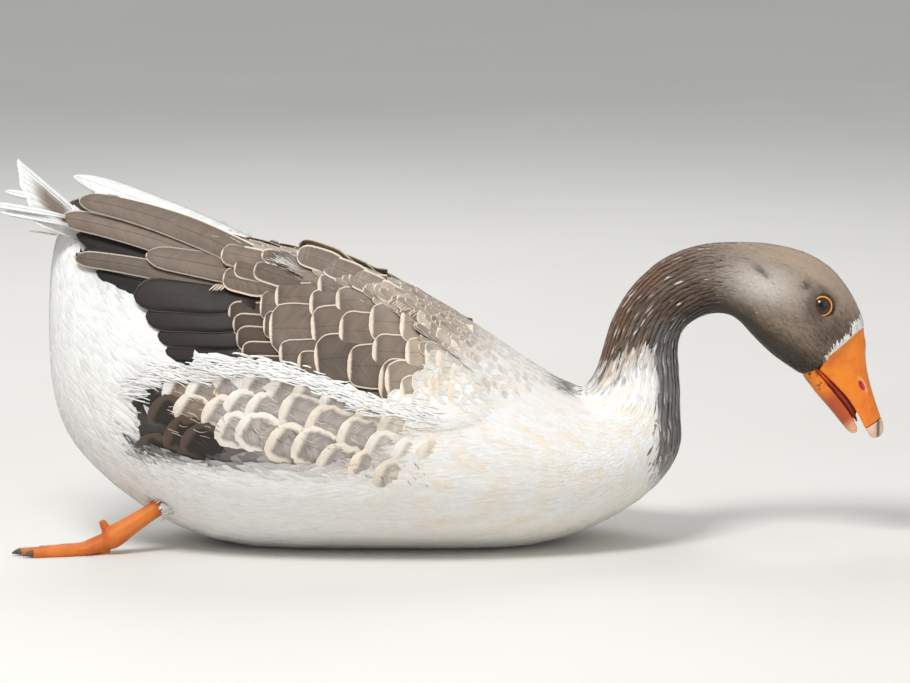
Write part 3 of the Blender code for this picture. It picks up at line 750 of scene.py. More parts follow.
# The bill's root as the head's end shows it: its lower and upper ends, and the way out along the bill
ROOT_LOW = np.array((0.2853, 0.0, 0.1172))
ROOT_RISE = np.array((0.0310, 0.0, 0.0278))
BILL_WAY = unit(np.array((0.0278, 0.0, -0.0310)))
ROOT_BULGE = 0.0050  # how far the bill's edge curves back over the face


def bill_place(points):
    """For each point, its share of the way up the bill's root, and how far out it lies along the bill."""
    off = points - ROOT_LOW
    return off @ ROOT_RISE / (ROOT_RISE @ ROOT_RISE), off @ BILL_WAY


def bill_edge(up):
    """How far out along the bill the feathers begin, at that share of the way up its root."""
    share = np.clip(up, 0, 1)
    return -ROOT_BULGE * 4 * share * (1 - share)


def drawn_height(points):
    """Each point's height in the side drawing, as its own side of the bird shows it."""
    return ((points[:, 2] - DRAWN_FROM) * math.cos(TILT) - np.abs(points[:, 1]) * math.sin(TILT)) / MM


def within(x, z, middle, reach, slope=0.0):
    """The square of how far a point lies from the middle of a spot, 1 at its rim. Its x axis may slope."""
    return ((x - middle[0]) / reach[0]) ** 2 + ((z - middle[1] + slope * (x - middle[0])) / reach[1]) ** 2


def spot(x, z, middle, reach, slope=0.0):
    """1 in the middle of a spot, fading out at about its rim."""
    return np.exp(-within(x, z, middle, reach, slope))


# Distances from the bill along the long axis
HEAD_END = 0.072
NECK_END = 0.205
BREAST_END = 0.300


def neck_dye(points, along, angle, mottle, fleck, cream):
    """Brown over a slanting line, cream under it, a russet nape and painted shade under the throat."""
    x, _, z = points.T
    over_line = (z - 0.1160) - (x - 0.129) * 0.45 + 0.004 * mottle + 0.007 * fleck
    brown = mixed(BROWN, UMBER, ease(0.5 * mottle + 0.5 * fleck, -0.6, 0.7))
    nape = ease(np.abs(angle), 1.1, 0.3) * ease(along, NECK_END + 0.02, NECK_END - 0.05)
    brown = mixed(brown, RUSSET, nape * ease(along, 0.09, 0.14))
    # painted shade under the throat
    throat = ease(np.abs(angle), 1.7, 2.4)
    brown = mixed(brown, tint(60, 51, 45), 0.8 * throat)
    upper = np.maximum(ease(over_line, -0.012, 0.012), ease(along + 0.004 * mottle, 0.162, 0.150))
    return mixed(cream, brown, upper * ease(along, NECK_END + 0.045, NECK_END + 0.02))


def trunk_dye(points, mottle, fleck, cream):
    """Belly and rear white, back grey-brown, painted shadow under the wing, a dark band under the flank."""
    x, y, z = points.T
    colour = mixed(cream, WHITE, ease(-x, -0.05, 0.06))
    back = ease(z, 0.115, 0.145) * ease(-x, -0.125, -0.06) * ease(-x, 0.150, 0.125)
    back = back * (1 - ease(np.abs(y), 0.060, 0.075) * ease(-x, 0.08, 0.10))
    grey_brown = mixed(TAUPE * 1.05, BEIGE * 0.95, 0.25 + 0.25 * mottle + 0.5 * ease(x, 0.03, 0.09))
    colour = mixed(colour, grey_brown, back)
    high = drawn_height(points) + 3 * fleck
    # painted shadow under the wing's long feathers, greyish, and random grey clouds over the rear
    wing_shadow = spot(x, high, (-0.186, 98), (0.024, 15))
    clouds = 0.30 * ease(mottle, 0.0, 1.2) * ease(-x, 0.10, 0.16)
    colour = mixed(colour, tint(188, 188, 187), np.clip(0.75 * wing_shadow + clouds, 0, 0.8))
    # a dark band under the flank's feathers: partly their own darker wet brown, partly painted shade
    under_flank_wet_shade = ease(high, -30, -14) * ease(high, 16, 4)
    under_flank_wet_shade = under_flank_wet_shade * ease(x, -0.172, -0.160) * ease(np.abs(y), 0.040, 0.060)
    band = mixed(DARK * 1.2, LILAC, ease(x, -0.115, -0.035))
    return mixed(colour, band, 0.97 * under_flank_wet_shade * ease(-x, -0.035, 0.01))


def head_dye(points, normals, mottle, fleck):
    """Grey-brown, pale on the crown by painted light and on the cheek, silvery with a painted highlight;
    painted shade under the head, dark round the eye, white along the bill.
    """
    x, _, z = points.T
    colour = mixed(tint(134, 116, 99), tint(106, 89, 74), ease(fleck, -0.8, 0.8))
    # painted light: paler where the head faces up and forward
    crown = ease(normals[:, 2] + 0.5 * normals[:, 0], 0.30, 0.9)
    colour = mixed(colour, tint(170, 149, 127), crown * 0.9)
    # the cheek's own silvery patch, made brighter by a painted highlight
    cheek = spot(x, z, (0.243, 0.1780), (0.028, 0.014), 0.25)
    colour = mixed(colour, tint(214, 205, 194), np.clip(cheek * (0.92 + 0.12 * fleck), 0, 1))
    ear = spot(x, z, (0.2480, 0.1850), (0.006, 0.003), 0.6)
    colour = mixed(colour, DARK, 0.75 * ear)
    brow = spot(x, z, (0.2780, 0.1745), (0.004, 0.003))
    colour = mixed(colour, DARK, 0.8 * brow)
    # painted shade under the head
    low = ease((x - 0.235) * -0.72 + 0.162 - z + 0.002 * mottle, -0.006, 0.012)
    colour = mixed(colour, tint(50, 40, 33), 0.88 * low)
    round_eye = np.exp(-(within(x, z, (0.2860, 0.1610), (0.0100, 0.0105)) ** 2))
    colour = mixed(colour, tint(66, 53, 45), 0.75 * round_eye)
    lores = spot(x, z, (0.2930, 0.1430), (0.012, 0.010))
    colour = mixed(colour, tint(80, 66, 56), 0.7 * lores)
    # a thin white line along the bill, widening to a blaze on the forehead
    up, out = bill_place(points)
    limit = 0.0013 + 0.0055 * ease(up, 0.74, 0.92) + 0.0006 * fleck
    line = ease(bill_edge(up) - out, limit + 0.0006, limit - 0.0004)
    return mixed(colour, WHITE * 1.15, line * ease(up, 0.10, 0.22))


def body_dye(points, normals, along, angle):
    """The colour of the plumage at each place on the body."""
    x, y, z = points.T
    mottle, fleck = noise(points, 0.012, 3), noise(points, 0.004, 4)
    cream = mixed(CREAM, WHITE, ease(mottle, -1.6, 0.6))
    colour = neck_dye(points, along, angle, mottle, fleck, cream)
    head = head_dye(points, normals, mottle, fleck)
    colour = mixed(colour, head, ease(along, HEAD_END + 0.060, HEAD_END - 0.022))
    # painted shade on the front of the lower neck, as if it faced away from the light, with a sharp edge
    front = ease(x + 0.0006 * fleck + 0.05 * (z - 0.10), 0.1735, 0.1760) * ease(z, 0.035, 0.07)
    colour = mixed(colour, PAINTED_SHADE_SLATE * 0.9, 0.92 * front * ease(along, 0.125, 0.145) * ease(z, 0.165, 0.150))
    trunk = trunk_dye(points, mottle, fleck, cream)
    colour = mixed(colour, trunk, ease(along, NECK_END + 0.03, BREAST_END))
    # painted shadow in the gap where the nape meets the back
    nape_shadow = within(x, z, (0.1215, 0.1050), (0.0075, 0.0062), 0.35)
    return mixed(colour, UMBER, 0.9 * np.exp(-(nape_shadow**2)) * ease(np.abs(y), 0.040, 0.026))


# ---------------------------------------------------------------- body

FURROWS = 40  # lengthwise ridges round the neck

# What the wing's large vanes cover, in the side drawing, x and height in millimetres
VANED = (
    (-178, 40), (-158, 50), (-130, 50), (-102, 55), (-68, 49), (-47, 43), (-26, 30), (10, 20), (30, 30),
    (36, 50), (28, 68), (6, 84), (-18, 96), (-39, 104), (-68, 112), (-100, 120), (-137, 133), (-205, 150),
    (-230, 140),
)

# The flank's top edge in the side drawing
FLANK_X = (-177, -158, -130, -102, -68, -47, -26, 14, 60)
FLANK_TOP = (35, 46, 45, 51, 45, 38, 26, 19, 10)

# What the flank's large vanes cover
FLANKED = (
    (-176, 34), (-158, 47), (-130, 47), (-102, 53), (-68, 47), (-47, 40), (-26, 28), (14, 18), (24, 10),
    (10, -6), (-20, -16), (-60, -20), (-120, -20), (-156, -14), (-173, -2),
)

# The form is the frame's flesh and wings as one closed body: the outside of the coat
form = cast_from("form", FLESH + WINGS, swell=0.0006, voxel=0.0026, smoothing=8, cut_at=ARM_END)
move_points(form.data, lowered(points_of(form.data)))
form_points, form_normals = points_of(form.data), normals_of(form.data)
form_tree, form_triangles = tree_of(form.data), triangles_of(form.data)
form_along, _, form_angle = SPINE_LINE.place(form_points)
X, Y, Z = form_points.T


def furrow(along, angle, points):
    """1 on the ridges of the neck's plumage and 0 in its grooves, and how deep these are at each point."""
    wobble = 1.3 * noise(points, 0.03, 11)
    wave = 0.5 + 0.5 * np.cos(FURROWS * angle + wobble + along * 30)
    share = ease(along, 0.085, 0.125) * ease(along, NECK_END + 0.03, NECK_END - 0.02)
    return wave, share * ease(np.abs(angle), 0.15, 0.5)


def inside_of(outline_of, points):
    """Whether each point lies inside an outline of the side drawing."""
    x, high = points[:, 0] / MM, drawn_height(points)
    inside = np.zeros(len(points), bool)
    for (x0, h0), (x1, h1) in zip(outline_of, outline_of[1:] + outline_of[:1]):
        crossing = (h0 > high) != (h1 > high)
        inside ^= crossing & (x < (x1 - x0) * (high - h0) / (h1 - h0 + 1e-9) + x0)
    return inside


def under_vanes(points):
    """Whether each point lies under the wing's large vanes."""
    return inside_of(VANED, points) & (points[:, 0] > ARM_END)


def under_flank(points):
    """Whether each point lies under the flank's large vanes."""
    return inside_of(FLANKED, points) & (np.abs(points[:, 1]) > 0.050)


def facing_out(points, normals):
    """How far each normal points away from the bird's middle plane."""
    return normals[:, 1] * np.sign(points[:, 1])


def coat_depth(points, normals, along):
    """How far the skin lies under the feathers' outside."""
    depth = 0.0006 + 0.0002 * ease(along, HEAD_END - 0.03, HEAD_END + 0.02)
    aside = np.abs(points[:, 1])
    faces_out = ease(facing_out(points, normals), -0.25, 0.15)
    under_wing = ease(aside, 0.016, 0.030) * under_vanes(points)
    wing_end = ease(-points[:, 0], 0.085, 0.115) * ease(aside, 0.014, 0.028) * ease(points[:, 2], 0.10, 0.12)
    depth = depth + 0.0002 * ease(along, NECK_END - 0.03, NECK_END + 0.06)
    up, out = bill_place(points)
    depth = depth + 0.0012 * ease(out - bill_edge(up), -0.001, 0.0005) * (np.abs(up - 0.5) < 0.55)
    depth = depth + faces_out * np.maximum(0.0050 * under_wing, 0.0075 * wing_end)
    return depth + 0.0025 * under_flank(points)


SKIN_SHADE = 0.9  # painted shade: the skin under the feathers takes this share of their colour
FURROW_DEPTH = 0.0011  # of the neck's grooves


def body_skin():
    """One skin over trunk, neck, head and upper wings, under the feathers."""
    skin = form.copy()
    skin.data = form.data.copy()
    skin.name = skin.data.name = "skin"
    bpy.context.scene.collection.objects.link(skin)
    wave, share = furrow(form_along, form_angle, form_points)
    colour = body_dye(form_points, form_normals, form_along, form_angle) * SKIN_SHADE
    share = share * (0.2 + 0.8 * ease(colour.mean(axis=1), 0.42, 0.24))
    depth = coat_depth(form_points, form_normals, form_along) + FURROW_DEPTH * share * (1 - wave)
    move_points(skin.data, form_points - form_normals * depth[:, None])
    dyed(skin, colour, 1.0)
    fitted(skin, "down", "plumage_white", *FLESH, *WINGS)


TRIES = 6  # random places for each cell of space, on average
CELL = 1.12  # a cell's side, in spacings
CELLS = 4096  # more than there are along any axis


def seeds_on(form_mask, spacing, seed):
    """Places on the form about spacing apart: one random place in each small cell of space."""
    draw = np.random.default_rng(seed)
    corners = form_points[form_triangles]
    first, second = corners[:, 1] - corners[:, 0], corners[:, 2] - corners[:, 0]
    area = np.linalg.norm(np.cross(first, second), axis=1) / 2
    area = np.where(form_mask[form_triangles].all(axis=1), area, 0)
    count = int(area.sum() / spacing**2 * TRIES)
    pick = draw.choice(len(area), count, p=area / area.sum())
    a, b = draw.random(count), draw.random(count)
    flip = a + b > 1
    a, b = np.where(flip, 1 - a, a), np.where(flip, 1 - b, b)
    weights = np.stack([1 - a - b, a, b], axis=1)[..., None]
    points = (corners[pick] * weights).sum(axis=1)
    normals = unit((form_normals[form_triangles[pick]] * weights).sum(axis=1))
    cell = np.floor(points / (spacing * CELL) + CELLS / 4).astype(np.int64)
    key = (cell[:, 0] * CELLS + cell[:, 1]) * CELLS + cell[:, 2]
    first = np.sort(np.unique(key, return_index=True)[1])
    return points[first], normals[first]


def smoothed_normals(passes):
    """The form's normals, evened out over their neighbours."""
    normals = form_normals
    for _ in range(passes):
        means = normals[form_triangles].mean(axis=1)
        total = np.zeros_like(normals)
        for corner in range(3):
            for axis in range(3):
                total[:, axis] += np.bincount(form_triangles[:, corner], means[:, axis], len(normals))
        normals = unit(total)
    return normals


EVEN_NORMALS = smoothed_normals(6)


def even_normals_at(points, faces):
    """The evened normals at points on the form's triangles."""
    corners = form_points[form_triangles[faces]]
    first, second = corners[:, 1] - corners[:, 0], corners[:, 2] - corners[:, 0]
    off = points - corners[:, 0]
    d00, d01, d11 = (first * first).sum(1), (first * second).sum(1), (second * second).sum(1)
    d20, d21 = (off * first).sum(1), (off * second).sum(1)
    scale = d00 * d11 - d01 * d01 + 1e-18
    v = np.clip((d11 * d20 - d01 * d21) / scale, 0, 1)
    w = np.clip((d00 * d21 - d01 * d20) / scale, 0, 1)
    weights = np.stack([np.clip(1 - v - w, 0, 1), v, w], axis=1)
    return unit((EVEN_NORMALS[form_triangles[faces]] * weights[..., None]).sum(axis=1))


def walked(points, normals, heading, along, length):
    """Each feather's rows, laid on the form from its root the way that heading points, and the ups there."""
    count, rows = along.shape
    line = np.empty((count, rows, 3))
    under = np.empty((count, rows), int)
    for k in range(count):
        here, way, up = Vector(points[k]), Vector(heading[k]), Vector(normals[k])
        face = form_tree.find_nearest(here)[2]
        reached = 0.0
        for i in range(rows):
            step = along[k, i] * length[k] - reached
            reached += step
            if step > 0:
                aim = here + way * step
                spot_there, up_there, face_there, _ = form_tree.find_nearest(aim)
                if spot_there is not None and up_there.dot(up) > 0.3:
                    moved = spot_there - here
                    up, face, here = up_there, face_there, spot_there
                    if moved.length > 1e-6:
                        way = (moved - up * moved.dot(up)).normalized()
                else:
                    here = aim
            line[k, i] = here
            under[k, i] = face
    return line, even_normals_at(line.reshape(-1, 3), under.ravel()).reshape(line.shape)


# Where the right leg comes out of the belly, and how far round it no tuft grows
LEG_SOCKET, SOCKET_CLEAR = np.array((-0.1475, -0.0550, 0.0400)), 0.011
BAKE_PATCH = 0.003  # a tuft's own patch of the bake map


class Growth:
    """Roots on a stretch of the body, with what the tufts need to know there."""

    def __init__(self, mask, spacing, seed, blur=0.0):
        """blur is how far, about, each tuft's colour may come from along the body."""
        self.points, self.normals = seeds_on(mask, spacing, seed)
        self.along, self.heading, self.angle = SPINE_LINE.place(self.points)
        shift = np.random.default_rng(seed + 500).normal(size=len(self.along)) * blur
        beside = self.points + self.heading * shift[:, None]
        self.dye = body_dye(beside, self.normals, self.along + shift, self.angle)

    def keep(self, mask):
        for key in ("points", "normals", "along", "heading", "angle", "dye"):
            setattr(self, key, getattr(self, key)[mask])
        return self

    def on_cut(self):
        """Whether each root lies on or beside the wings' cut ends."""
        beside = (np.abs(self.points[:, 1]) > 0.02) & (self.points[:, 2] > 0.115)
        return beside & (np.abs(self.points[:, 0] - ARM_END) < 0.014) & (self.normals[:, 0] < -0.3)

    def keep_bare(self):
        """Only where no large vanes cover the body, clear of the wings' cut ends and the leg's socket."""
        clear = np.linalg.norm(self.points - LEG_SOCKET, axis=1) > SOCKET_CLEAR
        return self.keep(clear & ~under_vanes(self.points) & ~under_flank(self.points) & ~self.on_cut())

    def grow(self, coat, length, half, seed, *, rows=4, tip_rows=2, columns=3, spread=0.08, root_off=-0.003,
             tip_off=0.0, curl=0.0, camber=0.0005, blunt=2.0, stretch=1.3, root_shade=0.62, tone_spread=0.045,
             soft=0.95, roundness=0.06, hem=None, hem_width=0.0, **trim):
        """A feather at each root, lying back along the body, turned at random by about spread. root_off and
        tip_off are how far its ends stand off the form, curl lifts the tip, and roundness is how far the
        sides are shaded round. Length, half width and offs may be one value or one for each feather."""
        turn = np.random.default_rng(seed).normal(size=self.heading.shape) * spread
        heading = unit(self.heading + turn)
        draw = np.random.default_rng(seed)
        count = len(self.points)
        sizes = (length, half, root_off, tip_off)
        length, half, root_off, tip_off = (np.broadcast_to(size, count) for size in sizes)
        along, width = outline(length, half, rows, tip_rows, blunt, stretch, 0.55)
        heading = unit(heading - self.normals * (heading * self.normals).sum(axis=1, keepdims=True))
        line, ups = walked(self.points, self.normals, heading, along, length)
        sides = unit(np.cross(unit(np.gradient(line, axis=1)), ups))
        off = root_off[:, None] + (tip_off - root_off)[:, None] * along**0.8 + curl * ease(along, 0.6, 1.0)
        edge = np.linspace(-1, 1, columns)
        cells = (line + ups * off[..., None])[:, :, None]
        cells = cells + sides[:, :, None] * (width[..., None] * edge)[..., None]
        cells = cells + ups[:, :, None] * (camber * (1 - edge**2))[None, None, :, None]
        # painted shade: each tuft darker towards its root, where its neighbours lie over it
        shade = root_shade + (1 - root_shade) * ease(along, 0.0, 0.75)
        shade = shade * draw.normal(1, tone_spread, count)[:, None]
        round_share = self.angle / (2 * math.pi) + 0.5
        root = np.stack([0.02 + 0.95 * self.along / SPINE_LENGTH, 0.02 + 0.95 * round_share], axis=1)
        patch = np.broadcast_arrays(along[..., None] * BAKE_PATCH, (0.5 + 0.5 * edge) * BAKE_PATCH)
        facing = unit(ups[:, :, None] + sides[:, :, None] * (roundness * edge)[:, None]) * soft
        coat.add(draw, cells, along, length, width, edge, self.dye[:, None] * shade[..., None],
                 self.dye if hem is None else hem, hem_width=hem_width, facing=facing,
                 bake=root[:, None, None] + np.stack(patch, axis=-1), **trim)

    def coat(self, name, slot, length, half, seed, **settings):
        """Grows them as a piece of their own."""
        coat = Plumage(name)
        self.grow(coat, length, half, seed, **settings)
        coat.make(slot)


def head_coat():
    growth = Growth(form_along < HEAD_END + 0.035, 0.00135, 21, 0.0007)
    thinning = np.random.default_rng(23).random(len(growth.along))
    growth.keep(thinning < ease(growth.along, HEAD_END + 0.035, HEAD_END))
    up, out = bill_place(growth.points)
    growth.keep((out < bill_edge(up) + 0.0003) | (up < 0.0))
    size = ease(growth.along, 0.0, 0.030)
    growth.coat("head_feathers", "plumage_brown", 0.0032 + 0.0028 * size, 0.00050 + 0.00024 * size, 22,
                root_off=-0.0004, tip_off=0.00005, camber=0.00003, spread=0.06, root_shade=0.94, stretch=2.0,
                tone_spread=0.03, roundness=0.22)


def neck_coat():
    """Furrowed, with painted shade in the grooves, painted highlights on the ridges, and painted glints."""
    stretches = (
        ("upper", HEAD_END - 0.012, 0.135, 0.0016),
        ("middle", 0.135, 0.195, 0.0017),
        ("lower", 0.195, NECK_END + 0.05, 0.0019),
    )
    for part, (word, start, end, spacing) in enumerate(stretches):
        stretch = (form_along > start - 0.002) & (form_along < end + 0.002)
        growth = Growth(stretch, spacing, 31 + part, 0.0028)
        draw = np.random.default_rng(36 + part)
        growth.keep(draw.random(len(growth.along)) < ease(growth.along, HEAD_END - 0.014, HEAD_END + 0.018))
        wave, share = furrow(growth.along, growth.angle, growth.points)
        dark = ease(growth.dye.mean(axis=1), 0.45, 0.25)
        share = share * (0.2 + 0.8 * dark)
        # painted shade in the grooves and painted highlights on the ridges
        growth.dye = growth.dye * (1 + share * (0.75 * wave - 0.42))[:, None]
        # painted glints: a few dark feathers dyed towards white
        painted_glint = draw.random(len(growth.along)) < 0.015 + 0.10 * ease(growth.along, 0.125, 0.17)
        growth.dye = mixed(growth.dye, WHITE, painted_glint * dark * draw.uniform(0.2, 0.7, len(painted_glint)))
        off = -FURROW_DEPTH * share * (1 - wave)
        size = ease(growth.along, HEAD_END, NECK_END)
        growth.coat("neck_feathers_" + word, "plumage_brown", 0.0065 + 0.0050 * size, 0.00060 + 0.0003 * size,
                    33 + part, root_off=-0.0005 + off, tip_off=0.00002 + off, camber=0.00004, spread=0.04,
                    root_shade=0.92, stretch=3.6, tone_spread=0.03, roundness=0.22)


# What the white coats share
PLAIN = dict(tip_off=-0.00005, root_shade=0.98, tone_spread=0.015, spread=0.035)


def breast_coat():
    growth = Growth((form_along > NECK_END + 0.01) & (X > 0.0), 0.0031, 41, 0.004).keep_bare()
    size = ease(growth.along, NECK_END, BREAST_END)
    growth.coat("breast_feathers", "plumage_white", 0.014 + 0.007 * size, 0.0014 + 0.0010 * size, 42,
                root_off=-0.0004, camber=0.00002, stretch=2.6, **PLAIN)


def belly_coat():
    growth = Growth((X <= 0.012) & (Z < 0.115) & (X > -0.16), 0.0036, 51, 0.005).keep_bare()
    growth.coat("belly_feathers", "plumage_white", 0.022, 0.0025, 52,
                root_off=-0.0005, camber=0.00003, stretch=2.4, roundness=0.09, **PLAIN)


def rear_coat():
    growth = Growth((X < -0.105) & (Z < 0.235), 0.0030, 61, 0.004).keep_bare()
    growth.keep((np.abs(growth.points[:, 1]) < 0.038) | (growth.points[:, 2] < 0.185))
    growth.coat("rear_feathers", "plumage_white", 0.021, 0.0019, 62, root_off=-0.0005, tip_off=-0.00005,
                curl=0.0001, camber=0.00002, spread=0.06, root_shade=0.93, stretch=3.0, tone_spread=0.03,
                roundness=0.26)


def back_coat():
    """Large feathers down the middle of the back, and small ones along the wings' thin upper edges."""
    coat = Plumage("back_feathers")
    for part, (start, end, spacing) in enumerate(((0.125, 0.03, 0.0072), (0.034, -0.131, 0.0105))):
        growth = Growth((X < start) & (Z > 0.105) & (X > end), spacing, 71 + part).keep_bare()
        growth.keep((np.abs(growth.points[:, 1]) < 0.047) | (growth.points[:, 0] > -0.025))
        size = ease(-growth.points[:, 0], -0.10, 0.03)
        growth.grow(coat, 0.015 + 0.018 * size, 0.0044 + 0.0060 * size, 74 + part, rows=8, tip_rows=4,
                    columns=5, root_off=-0.0010 - 0.0014 * size, tip_off=0.0001 + 0.0002 * size,
                    camber=(0.0002, 0.0006)[part], spread=0.05, root_shade=0.95, blunt=2.2, stretch=1.0,
                    soft=0.4, roundness=0.3, hem=mixed(CREAM, BEIGE, size), hem_width=1.0, side_ratio=1.6,
                    shaft=0.3, pattern=0.7)
    growth = Growth((X < -0.06) & (X > -0.104) & (Z > 0.16) & (np.abs(Y) > 0.040), 0.0036, 77)
    growth.keep(facing_out(growth.points, growth.normals) < 0.3)
    growth.grow(coat, 0.0085, 0.0019, 78, root_off=-0.0004, tip_off=0.0001, root_shade=0.95, stretch=1.6,
                pattern=0.3)
    coat.make("plumage_brown")


def under_coat():
    """A deep layer of plain feathers under the large vanes."""
    growth = Growth((X < 0.06) & (X > -0.19) & (Z > 0.03), 0.0075, 75)
    wing, flank = under_vanes(growth.points), under_flank(growth.points)
    top = np.interp(growth.points[:, 0] / MM, FLANK_X, FLANK_TOP)
    covered = (wing & (growth.points[:, 0] > -0.112)) | (flank & (drawn_height(growth.points) < top - 14))
    aside = (facing_out(growth.points, growth.normals) > 0.2) & (np.abs(growth.points[:, 1]) > 0.035)
    growth.keep(covered & aside & ~growth.on_cut())
    depth = coat_depth(growth.points, growth.normals, growth.along)
    # painted shade: darker where the large vanes lie over them, nearly black towards the rear
    dark = mixed(TAUPE * 0.8, DARK, ease(-growth.points[:, 0], 0.075, 0.095))
    growth.dye = mixed(growth.dye, dark, under_vanes(growth.points))
    growth.coat("under_feathers", "plumage_brown", 0.026, 0.0062, 76, root_off=-depth + 0.0003,
                tip_off=-depth + 0.0016, camber=0.0004, root_shade=0.9, stretch=1.3, pattern=0.3)


body_skin()
for maker in (head_coat, neck_coat, breast_coat, belly_coat, rear_coat, back_coat, under_coat):
    maker()

# ---------------------------------------------------------------- wings

TIP_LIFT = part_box("wing_left")[1].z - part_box("wing_right")[1].z
wing_maps = {RIGHT: Side(["wing_right"], RIGHT, 6)}
wing_maps[LEFT] = Side(["wing_left"], LEFT, 6, wing_maps[RIGHT], TIP_LIFT)
body_maps = {RIGHT: Side([*FLESH[:2], "wing_right"], RIGHT, 10)}
body_maps[LEFT] = Side([*FLESH[:2], "wing_left"], LEFT, 10, body_maps[RIGHT])

# Each row: tip x, tip height, root x, root height, half width, then bend, lift and tone where given
PRIMARIES = (
    (-219, 138, -120, 112, 9.5, 0, 0, 0.8),
    (-214, 127, -110, 100, 9.0, 0, 0.4, 0.8),
    (-205, 113, -105, 88, 8.0, 0, 0.2, 0.7),
    (-192, 104, -100, 86, 8.0, 0, 0.0, 0.7),
)
SECONDARIES = (
    (-150, 49, -85, 46, 9.0, 1.0, 0.0),
    (-156, 60, -85, 56, 9.0, 1.0, 0.7),
    (-161, 70, -88, 67, 9.5, 1.0, 1.4),
    (-169, 83, -90, 80, 12.0, 1.5, 2.1),
    (-177, 97, -95, 91, 12.0, 1.5, 2.8),
)
# The lowest first: the long pointed one, the second, the broad short one, and the topmost
TERTIALS = (
    (-218, 121.5, -105, 101, 8.5, 2.0, -1.0, 0.80),
    (-227, 148.5, -105, 112, 10.5, 4.0, 0.6, 0.95),
    (-168.5, 122.5, -92, 110, 11.5, 0.0, 1.8, 1.0),
    (-214, 160, -100, 121, 11.0, 4.5, 2.6, 0.95),
)
GREATER_COVERTS = tuple(
    (tip_x, high, tip_x + 46, high - 1, 8.4)
    for tip_x, high in ((-113, 84.0), (-110, 76.0), (-107.5, 67.5), (-104, 58.5), (-101.5, 48.5))
)
# Coverts from the rear to the shoulder, a column at a time: length and hem's width, then tip x, height,
# half width and tone of each
COVERT_COLUMNS = (
    (36, 1.2, ((-93, 101, 9, 0.78), (-92, 88, 9, 0.74), (-90, 76, 8, 0.72))),
    (52, 2.0, ((-86, 104, 12, 0.98), (-82.5, 93, 9, 0.9), (-84.5, 73, 15, 0.92), (-79, 54, 9, 0.72),
               (-66, 50, 8, 0.7))),
    (44, 2.4, ((-54, 101, 8, 1.0), (-59.5, 89, 9, 1.0), (-58.5, 73, 12.5, 0.85), (-55, 51, 14, 0.68))),
    (40, 2.6, ((-41, 91, 9, 1.05), (-38, 72, 12, 0.92), (-34, 49, 14.5, 0.66))),
    (36, 2.8, ((-19.5, 78, 12.5, 1.08), (-17.5, 59, 11, 0.98), (-14, 39, 13, 0.70))),
    (32, 2.8, ((2, 77, 13, 1.22), (4, 57, 10, 1.18), (-9, 37, 12, 0.78))),
    (28, 2.6, ((14, 72, 10, 1.35), (15, 53, 11, 1.3), (1, 31, 10, 0.85))),
    (26, 2.4, ((24, 67, 9, 1.5), (25, 50, 10, 1.45), (20, 33, 10, 1.3))),
    (24, 2.4, ((34, 60, 9, 1.6), (35, 44, 9, 1.6), (33, 29, 9, 1.5))),
)
SMALL_COVERTS = (
    (-110, 113, -78, 107, 7.0, 0, 2.6),
    (-117, 107, -80, 99, 8.0, 0, 2.0),
    (-97, 112, -66, 104, 7.0, 0, 2.2),
)
SCAPULARS = (
    (-119, 121, -72, 113, 8.0, 1.0, 3.0),
    (-92, 121, -54, 114, 6.5, 0.5, 1.6),
    (-70, 124, -30, 112, 8.0, 1.0, 0.6),
    (-52, 117, -12, 103, 8.5, 1.0),
    (-34, 110, 4, 94, 8.5, 1.0),
    (-17, 102, 20, 84, 8.0, 1.0),
    (-1, 94, 32, 74, 7.5, 1.0),
    (13, 85, 44, 62, 7.5, 1.0),
    (26, 73, 50, 48, 7.0, 1.0),
)
# What single loose barbs share
BARB = dict(rows=6, tip_rows=2, columns=3, pattern=0.0, shaft=0.0)


def flight_feathers(side, word):
    coat = Plumage("flight_feathers_" + word)
    seed = 100 + side
    drawn_vanes(coat, wing_maps[side], PRIMARIES, seed, rows=14, sink=0.0075, rise=-0.0055, roll=-0.0006,
                blunt=1.8, stretch=2.2, dye=DARK * 0.8, hem=BROWN, hem_width=0.3, pattern=0.4, shaft=0.2)
    drawn_vanes(coat, wing_maps[side], SECONDARIES, seed + 10, rows=14, sink=0.0058, rise=-0.0038,
                roll=-0.0008, blunt=2.0, stretch=1.4, dye=DARK * 1.1, hem=TAUPE, hem_width=0.4, pattern=0.6,
                shaft=0.3)
    coat.make("plumage_dark")


def tertial_feathers(side, word):
    """The long brown ones. On the left the topmost is white, and turned up to show over the back."""
    coat = Plumage("tertials_" + word)
    shape = dict(rows=18, columns=9, root_share=0.85, taper=0.34)
    rows = [list(row) for row in TERTIALS]
    if side == LEFT:
        rows[1][1] -= 9
        rows.pop()
        root, tip = (-0.0740, 0.0515, 0.1765), (-0.2230, 0.0340, 0.2445)
        free_vanes(coat, [root], [tip], 0.0140, (0.1, -0.6, 0.8), 126, tip_rows=8, blunt=1.75, stretch=2.1,
                   bend=0.0050, camber=0.0010, dye=WHITE * 0.96, shaft=0.35, pattern=0.4, **shape)
    drawn_vanes(coat, wing_maps[side], rows, 120 + side, tip_rows=7, blunt=2.1, stretch=1.3, rise=-0.001,
                roll=-0.0006, camber=0.0012, dye=TAUPE * 0.85, hem=CREAM, hem_width=0.8, **shape)
    coat.make("plumage_brown")


